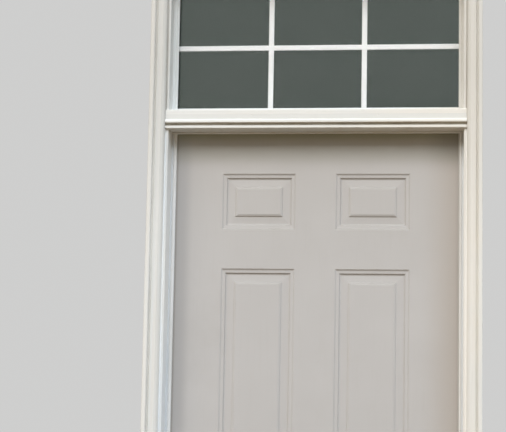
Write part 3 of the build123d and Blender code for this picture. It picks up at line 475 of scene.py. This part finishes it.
# plastics: beads, weatherstrip, sweep and the moulded sill
plasticLook = {
    "bead": (0.80, 0.82, 0.805),
    "beadShade": (0.735, 0.75, 0.73),
    # painted shade on the beads toward the right side
    "beadSideShade": (0.69, 0.665, 0.615),
    "strip": (0.88, 0.885, 0.88),
    "stripShade": (0.82, 0.82, 0.80),
    # painted shade: the grey lip and the cool flat of the strip
    "lip": (0.50, 0.485, 0.455),
    "flat": (0.72, 0.755, 0.79),
    "sweep": (0.055, 0.052, 0.05),
    "sweepShade": (0.09, 0.085, 0.08),
    "composite": (0.155, 0.115, 0.085),
    "compositeLight": (0.27, 0.21, 0.16),
    "dirt": (0.25, 0.23, 0.19),
    "drift": (3.2, 4, 0.6),
    "shadeCover": (0.4, 0.72, 1),
    "sideLightCover": (0.25, 0.44, 0.85),
    "dustFacing": (0.4, 0.95),
    "dustPatches": (26, 4, 0.7),
    "dustEdges": (0.42, 0.7),
    "dustShare": 0.3,
    "grainDetail": (3, 0.6),
    "beadFinish": (0.34, 600, 0.00004),   # roughness, and the grain's scale and depth
    "sweepFinish": (0.5, 500, 0.0001),
    "roughen": (0.14, 0.2),           # by the grain and the dust
    "headSoft": 0.001,
    "lipFrom": 0.4,                   # only the right strip's lip is painted grey as shade
    "lipReach": 0.0036,
    "lipSoft": 0.0012,
    "flatReach": (0.0068, 0.0048),    # of the strip's flat skin, inward from the stop, painted cool as shade
    "flatShare": 0.7,
    "stripGrain": (350, 3, 0.6),
    "stripGloss": 0.5,
    "stripRoughen": (0.14, 0.1),      # by the grain and the lip
    "stripDepth": 0.0001,
    "sillGrain": (210, 4, 0.65, (0.03, 1, 1)),
    "sillFibres": (900, 3, 0.6, (0.03, 1, 1)),
    "sillCover": (0.3, 0.7, 1),
    "sillFacing": (0.7, 0.95),
    "sillScuffs": (38, 5, 0.75),
    "sillScuffEdges": (0.52, 0.7),
    "sillScuffShare": 0.35,
    "sillGloss": 0.52,
    "sillRoughen": (0.2, -0.12),      # by the fibres and the scuffs
    "sillRaise": (0.7, 0.3),          # by the grain and the fibres
    "sillDepth": 0.0004,
}


def vinyl(name, colour, shade, roughness, grainScale, grainDepth, sideLightTone=None):
    # Moulded plastic: slow shade, a fine grain, and dust on what faces up, times the patches of a noise.
    look = plasticLook
    paint = Finish(name)
    tone = paint.lay(colour, shade, paint.noise(*look["drift"]), look["shadeCover"])
    # on the beads, painted shade toward the right side
    if sideLightTone:
        tone = paint.lay(tone, sideLightTone, paint.x, look["sideLightCover"])
    dust = paint.rise(paint.facing("Z"), *look["dustFacing"])
    dust = dust * paint.rise(paint.noise(*look["dustPatches"]), *look["dustEdges"])
    tone = paint.mix(dust * look["dustShare"], tone, look["dirt"])
    grain = paint.noise(grainScale, *look["grainDetail"])
    return paint.dress(tone, weighed(roughness, look["roughen"], grain, dust), grain, grainDepth)


def stripVinyl(name):
    # Foam strip in a white skin: a cool flat next to the stop, and a grey lip where it meets the door, both
    # painted shade.
    # Both are rises of x, and end at the head strip.
    look = plasticLook
    paint = Finish(name)
    tone = paint.lay(look["strip"], look["stripShade"], paint.noise(*look["drift"]), look["shadeCover"])
    atHead = paint.rise(paint.z, lines["stripHead"] - look["headSoft"], lines["stripHead"])
    # painted shadow on the strip's lip next to the door
    lip = paint.between(paint.x, look["lipFrom"], lines["stripSide"] + look["lipReach"], look["lipSoft"])
    lip = lip * (1 - atHead)
    far, near = look["flatReach"]
    # painted shade on the strip's flat next to the stop
    flat = paint.rise(abs(paint.x), lines["stop"] - far, lines["stop"] - near) * (1 - atHead)
    tone = paint.mix(flat * look["flatShare"], tone, look["flat"])
    tone = paint.mix(lip, tone, look["lip"])
    grain = paint.noise(*look["stripGrain"])
    rough = weighed(look["stripGloss"], look["stripRoughen"], grain, lip)
    return paint.dress(tone, rough, grain, look["stripDepth"])


def compositeWood(name):
    # Moulded sill: a pressed grain along it, and scuffs on what faces up, times the patches of a noise.
    look = plasticLook
    paint = Finish(name)
    grain = paint.noise(*look["sillGrain"])
    fibres = paint.noise(*look["sillFibres"])
    tone = paint.lay(look["composite"], look["compositeLight"], grain, look["sillCover"])
    scuffs = paint.rise(paint.facing("Z"), *look["sillFacing"])
    scuffs = scuffs * paint.rise(paint.noise(*look["sillScuffs"]), *look["sillScuffEdges"])
    tone = paint.mix(scuffs * look["sillScuffShare"], tone, look["dirt"])
    rough = weighed(look["sillGloss"], look["sillRoughen"], fibres, scuffs)
    return paint.dress(tone, rough, weighed(0, look["sillRaise"], grain, fibres), look["sillDepth"])


# plated and brushed metals, each with its bright and its dull tone
metalLook = {
    "nickel": ((0.60, 0.565, 0.52), (0.46, 0.43, 0.39)),
    "aluminium": ((0.72, 0.725, 0.73), (0.55, 0.55, 0.55)),
    "zinc": ((0.62, 0.62, 0.60), (0.42, 0.41, 0.38)),
    "brush": (2400, 2, 0.6),
    "brushShare": 0.25,
    "cloud": (45, 4, 0.6),
    "cloudCover": (0.42, 0.75, 0.7),
    "roughEdges": (0.45, 0.8),
    "spacerRough": 0.35,
    "zincRough": 0.38,
    "uprightRough": 0.27,
    "levelRough": 0.25,
    "roughen": (0.13, 0.1),           # by the brushing and the clouds
    "depth": 0.00004,
}


def satinMetal(name, kind, stretch, roughness):
    # Brushed metal: fine lines along one direction, cloudier and duller in patches.
    look = metalLook
    bright, dull = look[kind]
    metal = Finish(name)
    brush = metal.noise(*look["brush"], stretch)
    cloud = metal.noise(*look["cloud"])
    tone = metal.lay(bright, dull, cloud, look["cloudCover"])
    tone = metal.mix(brush * look["brushShare"], tone, dull)
    clouded = metal.rise(cloud, *look["roughEdges"])
    rough = weighed(look[roughness], look["roughen"], brush, clouded)
    return metal.dress(tone, rough, brush, look["depth"], Metallic=1.0)


# extruded metal of the tread
treadLook = {
    "dirt": (0.16, 0.14, 0.115),
    "dieLines": (1500, 2, 0.6, (0.006, 1, 1)),
    "dieShare": 0.4,
    "trafficAcross": (0.12, 0.42),
    "grime": (13, 5, 0.7),
    "grimeEdges": (0.45, 0.75),
    "grimeShares": (0.3, 0.5),        # everywhere, and more against the dam
    "damLines": (0.045, 0.07),
    "scratches": (160, 4, 0.7, (1, 0.12, 1)),
    "scratchEdges": (0.62, 0.7),
    "gloss": 0.3,
    "roughen": (0.16, 0.4, 0.15),     # by the die lines, the grime and the scratches
    "depth": 0.00008,
}


def millAluminium(name):
    # Die lines along x, dirt that gathers toward the dam, and scratches that thin out from the middle.
    look = treadLook
    metal = Finish(name)
    dieLines = metal.noise(*look["dieLines"])
    traffic = 1 - metal.rise(abs(metal.x), *look["trafficAcross"])
    tone = metal.mix(dieLines * look["dieShare"], *metalLook["aluminium"])
    always, atDam = look["grimeShares"]
    grime = metal.rise(metal.noise(*look["grime"]), *look["grimeEdges"])
    grime = grime * (always + metal.rise(metal.y, *look["damLines"]) * atDam)
    tone = metal.mix(grime, tone, look["dirt"])
    scratch = metal.rise(metal.noise(*look["scratches"]), *look["scratchEdges"]) * traffic
    rough = weighed(look["gloss"], look["roughen"], dieLines, grime, scratch)
    return metal.dress(tone, rough, dieLines - scratch, look["depth"], Metallic=1.0)


# sealed unit: low-emissivity panes, the inner one tinted dark as painted shade, and the flat white bars
# between them
glassLook = {
    "outerTint": (0.985, 0.99, 0.985),
    # painted shade: the dark behind the glass
    "innerShadeTint": (0.085, 0.11, 0.095),
    "outerAlpha": 0.3,
    "bend": 1.5,                      # index of refraction
    "polish": 0.002,
    "smear": 0.03,
    "film": (5, 5, 0.7),
    "filmEdges": (0.45, 0.75),
    "filmShare": 0.5,
    "footLines": (0.012, 0.07),       # above the transom's lower line
    "wave": (3.5, 1, 0.4),
    "waveDepth": 0.00025,
    "barWhite": (0.95, 0.955, 0.945),
    "barShade": (0.90, 0.905, 0.90),
    "barDrift": (7, 3, 0.5),
    "barCover": (0.4, 0.75, 1),
    "barGloss": 0.36,
    "barRoughen": 0.08,
    "barGrain": (700, 2),
    "barDepth": 0.00003,
}


def paneGlass(name, tint, alpha=1.0):
    # Glass with a faint film of dust, thicker at the foot of the pane; the inner pane is tinted dark as
    # painted shade.
    look = glassLook
    glass = Finish(name)
    film = glass.rise(glass.noise(*look["film"]), *look["filmEdges"])
    near, far = look["footLines"]
    foot = 1 - glass.rise(glass.z, lines["transomLow"] + near, lines["transomLow"] + far)
    rough = look["polish"] + (film * look["filmShare"] + foot) * look["smear"]
    wave = glass.noise(*look["wave"])
    clear = {"IOR": look["bend"], "Transmission_Weight": 1.0, "Alpha": alpha}
    return glass.dress(tint, rough, wave, look["waveDepth"], **clear)


def barEnamel(name):
    # Baked enamel on the bars between the panes, duller where a slow noise is high.
    look = glassLook
    paint = Finish(name)
    drift = paint.noise(*look["barDrift"])
    tone = paint.lay(look["barWhite"], look["barShade"], drift, look["barCover"])
    rough = look["barGloss"] + drift * look["barRoughen"]
    return paint.dress(tone, rough, paint.noise(*look["barGrain"]), look["barDepth"])


# hidden wood and foam, seen only along the edges of the slab
coreLook = {
    "pineLight": (0.70, 0.55, 0.37),
    "pineDark": (0.52, 0.36, 0.21),
    "bands": (95, 3, 0.55),
    "bandBend": 0.6,
    "bandCover": (0.38, 0.62, 1),
    "fibres": (700, 3, 0.6),
    "fibreShare": 0.2,
    "pineGloss": 0.66,
    "pineRoughen": 0.15,
    "pineRaise": (0.4, 0.6),          # by the bands and the fibres
    "pineDepth": 0.0003,
    "foam": (0.78, 0.66, 0.38),
    "foamDark": (0.62, 0.50, 0.26),
    "foamCells": 420,
    "foamCover": (0.1, 0.6, 1),
    "foamRough": 0.9,
    "foamDepth": 0.0006,
}


def pineWood(name, stretch):
    # Sawn pine: growth bands along the piece, darker fibres and saw fuzz.
    look = coreLook
    wood = Finish(name)
    bands = wood.noise(*look["bands"], stretch, bend=look["bandBend"])
    fibres = wood.noise(*look["fibres"], stretch)
    tone = wood.lay(look["pineLight"], look["pineDark"], bands, look["bandCover"])
    tone = wood.mix(fibres * look["fibreShare"], tone, look["pineDark"])
    rough = look["pineGloss"] + fibres * look["pineRoughen"]
    return wood.dress(tone, rough, weighed(0, look["pineRaise"], bands, fibres), look["pineDepth"])


def insulatingFoam(name):
    # Poured foam: light cells, dark toward the middle of each.
    look = coreLook
    foam = Finish(name)
    cells = foam.cells(look["foamCells"])
    tone = foam.lay(look["foamDark"], look["foam"], cells, look["foamCover"])
    return foam.dress(tone, look["foamRough"], cells, look["foamDepth"])


def legOffset(paint):
    # how far out from the side mouldings' inner edge
    return abs(paint.x) - lines["casingInner"]


def headOffset(paint):
    # how far up from the head moulding's inner edge
    return paint.z - lines["casingHead"]


def trimOffset(paint):
    # how far up from the trim's lower edge
    return paint.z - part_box("mull_trim")[0].z


# how a grain is stretched in wood and in brushed metal
levelGrain, uprightGrain = (0.03, 1, 1), (1, 1, 0.03)
levelBrush, uprightBrush, noBrush = (0.02, 1, 1), (1, 1, 0.02), (1, 1, 1)
groove, trimGrooveShade = mouldingLook["casingGroove"], mouldingLook["trimGrooveShade"]
beadTones = plasticLook["bead"], plasticLook["beadShade"]
sweepTones = plasticLook["sweep"], plasticLook["sweepShade"]
finishes = {
    "legPaint": mouldingPaint("moulding_paint_upright", "z", legOffset, groove),
    "headPaint": mouldingPaint("moulding_paint_level", "x", headOffset, groove),
    "trimPaint": mouldingPaint("trim_paint", "x", trimOffset, trimGrooveShade, mouldingLook["boardShare"]),
    "jambUpright": jambPaint("frame_paint_upright", "z"),
    "jambLevel": jambPaint("frame_paint_level", "x"),
    "doorOutside": doorPaint("door_paint_outside", True),
    "doorInside": doorPaint("door_paint_inside", False),
    "beadVinyl": vinyl("bead_vinyl", *beadTones, *plasticLook["beadFinish"], plasticLook["beadSideShade"]),
    "stripVinyl": stripVinyl("weatherstrip_vinyl"),
    "sweepVinyl": vinyl("sweep_vinyl", *sweepTones, *plasticLook["sweepFinish"]),
    "composite": compositeWood("sill_composite"),
    "aluminium": millAluminium("sill_aluminium"),
    "spacer": satinMetal("spacer_aluminium", "aluminium", levelBrush, "spacerRough"),
    "zinc": satinMetal("zinc_plated_steel", "zinc", noBrush, "zincRough"),
    "nickelUpright": satinMetal("satin_nickel_upright", "nickel", uprightBrush, "uprightRough"),
    "nickelLevel": satinMetal("satin_nickel_level", "nickel", levelBrush, "levelRough"),
    "clearGlass": paneGlass("outer_glass", glassLook["outerTint"], glassLook["outerAlpha"]),
    "shadeTintedGlass": paneGlass("inner_glass", glassLook["innerShadeTint"]),
    "enamel": barEnamel("bar_enamel"),
    "pineUpright": pineWood("pine_upright", uprightGrain),
    "pineLevel": pineWood("pine_level", levelGrain),
    "foam": insulatingFoam("core_foam"),
}

dressedNodes = {
    "legPaint": ["casing_left", "casing_right"],
    "headPaint": ["casing_head"],
    "trimPaint": ["mull_trim"],
    "jambUpright": ["strike_jamb", "hinge_jamb", "glass_stop_left", "glass_stop_right"],
    "jambLevel": ["head_jamb", "transom_sill", "transom_head", "glass_stop_top", "glass_stop_bottom"],
    "doorOutside": ["exterior_skin"],
    "doorInside": ["interior_skin"],
    "beadVinyl": ["glazing_bead_left", "glazing_bead_right", "glazing_bead_top", "glazing_bead_bottom"],
    "stripVinyl": ["weatherstrip_left", "weatherstrip_right", "weatherstrip_head"],
    "sweepVinyl": ["door_sweep"],
    "composite": ["sill_base", "threshold_cap"],
    "aluminium": ["threshold"],
    "spacer": ["glass_spacer"],
    "zinc": ["cap_screws"],
    "nickelUpright": [
        "hinge_jamb_leaf_1", "hinge_jamb_leaf_2", "hinge_jamb_leaf_3", "hinge_pins",
        "hinge_door_leaf_1", "hinge_door_leaf_2", "hinge_door_leaf_3", "latch_strike",
        "deadbolt_strike", "latch_case", "deadbolt_case",
    ],
    "nickelLevel": [
        "outside_rose", "inside_rose", "deadbolt_cylinder", "thumbturn_rose", "outside_lever",
        "inside_lever", "lever_spindle", "latch_bolt", "thumbturn", "deadbolt_bolt",
    ],
    "clearGlass": ["outer_pane"],
    "shadeTintedGlass": ["inner_pane"],
    "enamel": ["grille_bars"],
    "pineUpright": ["lock_stile", "hinge_stile", "lock_block"],
    "pineLevel": ["top_rail", "bottom_rail"],
    "foam": ["foam_core"],
}
for finish, names in dressedNodes.items():
    for name in names:
        mesh = nodes[name].data
        mesh.materials.clear()
        mesh.materials.append(finishes[finish])
undressed = sorted(set(nodes) - {name for names in dressedNodes.values() for name in names})
print("finishes given to the solids; left over:", undressed)


def makePiece(name, points, faces, finish, body, smooth=True):
    # A mesh object from arrays of points and of faces, with its finish, riding on a body.
    mesh = bpy.data.meshes.new(name)
    mesh.from_pydata(np.asarray(points, float).tolist(), [], [list(map(int, face)) for face in faces])
    mesh.validate()
    mesh.materials.append(finishes[finish])
    mesh.polygons.foreach_set("use_smooth", np.full(len(mesh.polygons), smooth))
    piece = bpy.data.objects.new(name, mesh)
    bpy.context.scene.collection.objects.link(piece)
    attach(piece, body)


def gridFaces(rows, columns):
    # Quads of a grid of rows by columns, whose last column joins the first.
    row, column = np.meshgrid(np.arange(rows - 1), np.arange(columns), indexing="ij")
    after = (column + 1) % columns
    near, far = row * columns, (row + 1) * columns
    corners = [near + column, near + after, far + after, far + column]
    return np.stack([corner.ravel() for corner in corners], 1)


# screws in the hinge leaves, strikes and faceplates
screwLook = {
    "radius": 0.0041,
    "rise": 0.00075,
    "rim": 0.0001,
    "seat": 0.0001,
    "spokes": 56,
    "recessRings": (0.06, 0.55, 10),  # shares of the radius, and how many: close together over the cross
    "rimRings": (0.62, 1.0, 5),
    "crossArm": 0.0021,
    "crossWidth": 0.00042,
    "crossDepth": 0.00058,
    "crossWall": (1.5, 0.7),          # in widths: half the cross at its mouth, and the run of its wall
    "crossEnd": 0.25,                 # in arms
    "turns": (0.7, 1.9),              # of the first screw in a row, and more for each after it
    "hingeHeights": [1.816, 1.092, 0.368],
    "hingePlaces": [(0.1065, 0.037), (0.0905, 0.0165), (0.0905, -0.0165), (0.1065, -0.037)],
    "platePlaces": [(0.09445, 0.0206), (0.09445, -0.0206)],
}


def screwHead():
    # Polar grid: height falls with the radius squared, less a well where either arm of the cross lies.
    look = screwLook
    spokes = look["spokes"]
    turn = np.linspace(0, 2 * np.pi, spokes, endpoint=False)
    out = np.concatenate([np.linspace(*look["recessRings"]), np.linspace(*look["rimRings"])])
    radius = look["radius"] * out[:, None]
    across, up = radius * np.cos(turn), radius * np.sin(turn)
    mouth, wall = (look["crossWidth"] * part for part in look["crossWall"])
    end = look["crossArm"] * look["crossEnd"]
    arms = []
    for one, other in ((across, up), (up, across)):
        inArm = np.clip((mouth - np.abs(one)) / wall, 0, 1)
        arms.append(inArm * np.clip((look["crossArm"] - np.abs(other)) / end, 0, 1))
    dome = look["rim"] + look["rise"] * (1 - out[:, None] ** 2)
    height = dome - look["crossDepth"] * np.maximum(*arms)
    points = np.stack([across, up, height], -1).reshape(-1, 3)
    foot = np.stack([across[-1], up[-1], np.full(spokes, -look["seat"])], -1)
    middle = [[0, 0, look["rim"] + look["rise"] - look["crossDepth"]]]
    points = np.concatenate([points, foot, middle])
    faces = gridFaces(len(out) + 1, spokes)[:, ::-1]
    first = np.arange(spokes)
    cap = np.stack([first, np.roll(first, -1), np.full(spokes, len(points) - 1)], 1)
    return points, [list(face) for face in faces] + [list(face) for face in cap[:, ::-1]]


def screwRow(name, places, outward, body):
    # One mesh of equal screw heads at the given places, each turned by its own angle.
    points, faces = screwHead()
    normal = np.array(outward, float)
    side = np.array([0.0, 1.0, 0.0])
    up = np.cross(normal, side)
    firstTurn, eachTurn = screwLook["turns"]
    allPoints, allFaces = [], []
    for index, place in enumerate(places):
        angle = firstTurn + eachTurn * index
        first = np.cos(angle) * side + np.sin(angle) * up
        second = np.cross(normal, first)
        allFaces += [[corner + index * len(points) for corner in face] for face in faces]
        allPoints.append(np.array(place) + points @ np.stack([first, second, normal]))
    makePiece(name, np.concatenate(allPoints), allFaces, "nickelUpright", body)


hingeSides = [
    ("jamb", lines["rabbet"], (-1, 0, 0), "frame"),
    ("door", lines["slabEdge"], (1, 0, 0), "door"),
]
for number, hingeZ in enumerate(screwLook["hingeHeights"], 1):
    for part, x, outward, body in hingeSides:
        places = [(x, y, hingeZ + z) for y, z in screwLook["hingePlaces"]]
        screwRow(f"hinge_{part}_screws_{number}", places, outward, body)
lockSides = [
    ("strike", -lines["rabbet"], (1, 0, 0), "frame"),
    ("plate", -lines["slabEdge"], (-1, 0, 0), "door"),
]
for name, lockZ in (("latch", lines["leverZ"]), ("deadbolt", lines["deadboltZ"])):
    for part, x, outward, body in lockSides:
        places = [(x, y, lockZ + z) for y, z in screwLook["platePlaces"]]
        screwRow(f"{name}_{part}_screws", places, outward, body)
print("screws placed")


def carry(profile, path, normals):
    # Points of a profile carried along a path of straight runs, mitred at each corner. A profile point
    # (inward, forward) goes to path + inward * mitre + forward * normal, where the mitre is the sum of the
    # two neighbouring runs' inward directions over one plus their dot product.
    path = np.asarray(path, float)
    inward = np.asarray(normals, float)
    before = np.concatenate([inward[:1], inward])
    after = np.concatenate([inward, inward[-1:]])
    mitre = (before + after) / (1 + (before * after).sum(1, keepdims=True))
    forward = np.array([0, -1.0, 0])
    points = path[:, None] + profile[None, :, :1] * mitre[:, None] + profile[None, :, 1:] * forward
    count = len(profile)
    faces = [list(face) for face in gridFaces(len(path), count)]
    faces += [list(range(count))[::-1], [(len(path) - 1) * count + step for step in range(count)]]
    return points.reshape(-1, 3), faces


# sealant run where the moulding meets the jambs' edge
sealantLook = {
    "width": 0.0034,
    "steps": 7,
    "bury": 0.0004,
    "foot": 0.0155,    # on the nose of the tread
}


def coveProfile():
    # Hollow fillet in the corner: a quarter circle about (width, width), closed behind the corner.
    look = sealantLook
    width, bury = look["width"], look["bury"]
    turn = np.linspace(np.pi, 1.5 * np.pi, look["steps"])
    hollow = np.stack([width * (1 + np.cos(turn)), width * (1 + np.sin(turn))], 1)
    return np.concatenate([hollow, [(width, -bury), (-bury, -bury), (-bury, width)]])


trimLow, trimHigh = (corner.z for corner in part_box("mull_trim"))
inner, top = lines["casingInner"], lines["casingHead"]
for name, side in (("left", 1), ("right", -1)):
    path = [(-side * inner, 0, sealantLook["foot"]), (-side * inner, 0, trimLow)]
    points, faces = carry(coveProfile(), path, [(side, 0, 0)])
    if side < 0:
        faces = [face[::-1] for face in faces]
    makePiece(f"sealant_door_{name}", points, faces, "jambUpright", "frame")
path = [(-inner, 0, trimHigh), (-inner, 0, top), (inner, 0, top), (inner, 0, trimHigh)]
points, faces = carry(coveProfile(), path, [(1, 0, 0), (0, 0, -1), (-1, 0, 0)])
makePiece("sealant_transom", points, faces, "jambUpright", "frame")
print("sealant run in")


# fluted cover of the aluminium tread
fluteLook = {
    "pitch": 0.0062,
    "height": 0.0007,
    "sharpness": 0.7,
    "front": 0.0035,
    "back": 0.0625,
    "perFlute": 8,
    "sink": 0.0002,
    "slopeStart": (-0.028, 0.0136),    # the tread's top face: y and z at its front and at its back
    "slopeEnd": (0.0706, 0.0216),
    "endGap": 0.0008,                  # to the stops
}


def flutedTread():
    # Closed strip along the sill: over the tread's slope, the top rises with a power of the absolute sine
    # of the distance across.
    look = fluteLook
    (startY, startZ), (endY, endZ) = look["slopeStart"], look["slopeEnd"]
    flutes = int((look["back"] - look["front"]) / look["pitch"])
    across = np.linspace(0, flutes, flutes * look["perFlute"] + 1)
    y = look["front"] + across * look["pitch"]
    base = startZ + (y - startY) * ((endZ - startZ) / (endY - startY))
    ridge = look["height"] * np.abs(np.sin(np.pi * across)) ** look["sharpness"]
    upper = np.stack([y, base + ridge], 1)
    lower = np.stack([y, base - look["sink"]], 1)
    outline = np.concatenate([upper, lower[::-1]])
    half = lines["stop"] - look["endGap"]
    points = np.concatenate([np.insert(outline, 0, x, axis=1) for x in (-half, half)])
    count = len(outline)
    faces = [list(face) for face in gridFaces(2, count)]
    faces += [list(range(count))[::-1], [count + step for step in range(count)]]
    return points, faces


points, faces = flutedTread()
makePiece("tread_flutes", points, faces, "aluminium", "frame", smooth=False)
print("tread fluted")


# the photograph's view
cameraLook = {
    "place": (0.423, -4.864, 1.163),
    "yaw": math.radians(7.08),     # to the left
    "pitch": math.radians(7.04),   # up
    "roll": math.radians(1.05),
    "focalPixels": 1650.0,
    "widthPixels": 506.0,
    "sensorWidth": 36.0,
}


def aimCamera():
    # Forward from yaw and pitch; right and up then turned by the roll about it.
    look = cameraLook
    yaw, pitch, roll = look["yaw"], look["pitch"], look["roll"]
    level = np.array([math.cos(yaw), math.sin(yaw), 0.0])
    ahead = np.array([-math.sin(yaw), math.cos(yaw), 0.0])
    forward = math.cos(pitch) * ahead + math.sin(pitch) * np.array([0.0, 0.0, 1.0])
    upright = np.cross(level, forward)
    right = math.cos(roll) * level + math.sin(roll) * upright
    up = math.cos(roll) * upright - math.sin(roll) * level
    turn = Matrix(np.stack([right, up, -forward], 1).tolist()).to_4x4()
    data = bpy.data.cameras.new("view")
    data.sensor_width = look["sensorWidth"]
    data.lens = look["focalPixels"] / look["widthPixels"] * data.sensor_width
    camera = bpy.data.objects.new("view", data)
    camera.matrix_world = Matrix.Translation(look["place"]) @ turn
    bpy.context.scene.collection.objects.link(camera)
    bpy.context.scene.camera = camera


# studio: a pale floor, a soft sky, warm at the left and cool at the right, and three large soft lamps
studioLook = {
    "floorSize": 60.0,
    "floorLevel": -0.0004,
    "floorPale": (0.39, 0.38, 0.365),
    "floorShade": (0.35, 0.34, 0.325),
    "floorClouds": (3, 3),
    "floorCloudShare": 0.1,
    "floorRough": 0.8,
    "floorFade": (2.5, 11.0),       # distances over which the floor fades into the backdrop
    "floorBounce": (0.105, 0.058, 0.010),
    "backdrop": (0.62, 0.62, 0.615),
    "skyLow": (0.235, 0.18, 0.085),
    "skyLeft": (0.80, 0.74, 0.66),
    "skyRight": (0.52, 0.80, 1.10),
    "skyEdges": (-0.05, 0.6),       # heights at which the low sky ends and the high sky is whole
    "lampPower": 13700.0,
    "lamps": {                # side of the door, place along x, width, share of the power, colour
        "front_left_lamp": (-1, -21.25, 42.5, 0.57, (1.0, 0.965, 0.925)),
        "front_right_lamp": (-1, 21.25, 42.5, 0.43, (0.97, 0.995, 1.04)),
        "rear_lamp": (1, 0.0, 85.0, 0.7, (1.0, 0.968, 0.945)),
    },
    "lampDepth": 15.0,
    "lampReach": 20.4,
    "lampHeight": 20.0,
    "lampAim": (0.0, 0.0, 1.6),
}


def shownRay(paint):
    # 1 for what the camera, a gloss or a pane shows, 0 for light on the object: the largest of the three
    rays = ("Is Camera Ray", "Is Glossy Ray", "Is Transmission Ray")
    camera, glossy, through = (paint.node("ShaderNodeLightPath", output=ray) for ray in rays)
    return camera.calc("MAXIMUM", camera.calc("MAXIMUM", camera, glossy), through)


def layFloor():
    # Pale floor that keeps the shadow near the object. In what is shown, its share of the backdrop rises
    # with the distance, the root of x squared plus y squared. The light that it throws back has a colour of
    # its own.
    look = studioLook
    half = look["floorSize"] / 2
    corners = [(x * half, y * half, look["floorLevel"]) for x, y in ((-1, -1), (1, -1), (1, 1), (-1, 1))]
    mesh = bpy.data.meshes.new("floor")
    mesh.from_pydata(corners, [], [(0, 1, 2, 3)])
    paint = Finish("floor_pale")
    clouds = paint.noise(*look["floorClouds"]) * look["floorCloudShare"]
    shown = shownRay(paint)
    pale = paint.mix(clouds, look["floorPale"], look["floorShade"])
    colour = paint.mix(shown, look["floorBounce"], pale)
    surface = {"Base Color": colour, "Roughness": look["floorRough"]}
    ground = paint.node("ShaderNodeBsdfPrincipled", inputs=surface)
    away = (paint.x * paint.x + paint.y * paint.y) ** 0.5
    far = paint.node("ShaderNodeEmission", inputs={"Color": look["backdrop"]})
    fade = paint.rise(away, *look["floorFade"]) * shown
    blend = paint.node("ShaderNodeMixShader", inputs={0: fade, 1: ground, 2: far})
    paint.node("ShaderNodeOutputMaterial", inputs={"Surface": blend})
    mesh.materials.append(paint.material)
    floor = bpy.data.objects.new("floor", mesh)
    bpy.context.scene.collection.objects.link(floor)


def lightStudio():
    # Sky: the right colour's share grows in step with x, the low sky's falls with the height, and what is
    # shown is the backdrop. A lamp is a rectangle in front of or behind the door, aimed at it from the
    # middle and then moved along x.
    look = studioLook
    world = bpy.data.worlds.new("studio")
    world.use_nodes = True
    bpy.context.scene.world = world
    sky = Finish("studio", world.node_tree, "Generated")
    across = sky.node("ShaderNodeMapRange", inputs={"Value": sky.x, "From Min": -1.0, "From Max": 1.0})
    high = sky.mix(across, look["skyLeft"], look["skyRight"])
    tone = sky.mix(sky.rise(sky.z, *look["skyEdges"]), look["skyLow"], high)
    tone = sky.mix(shownRay(sky), tone, look["backdrop"])
    background = sky.node("ShaderNodeBackground", inputs={"Color": tone})
    sky.node("ShaderNodeOutputWorld", inputs={"Surface": background})
    for name, (side, shift, width, share, colour) in look["lamps"].items():
        lamp = bpy.data.lights.new(name, "AREA")
        lamp.energy = look["lampPower"] * share
        lamp.shape = "RECTANGLE"
        lamp.size, lamp.size_y = width, look["lampDepth"]
        lamp.color = colour
        holder = bpy.data.objects.new(name, lamp)
        middle = Vector((0.0, side * look["lampReach"], look["lampHeight"]))
        turn = (Vector(look["lampAim"]) - middle).to_track_quat("-Z", "Y").to_matrix().to_4x4()
        holder.matrix_world = Matrix.Translation(middle + Vector((shift, 0.0, 0.0))) @ turn
        bpy.context.scene.collection.objects.link(holder)


aimCamera()
layFloor()
lightStudio()
bpy.context.scene.view_settings.view_transform = "Standard"
print("camera, floor and lights set")
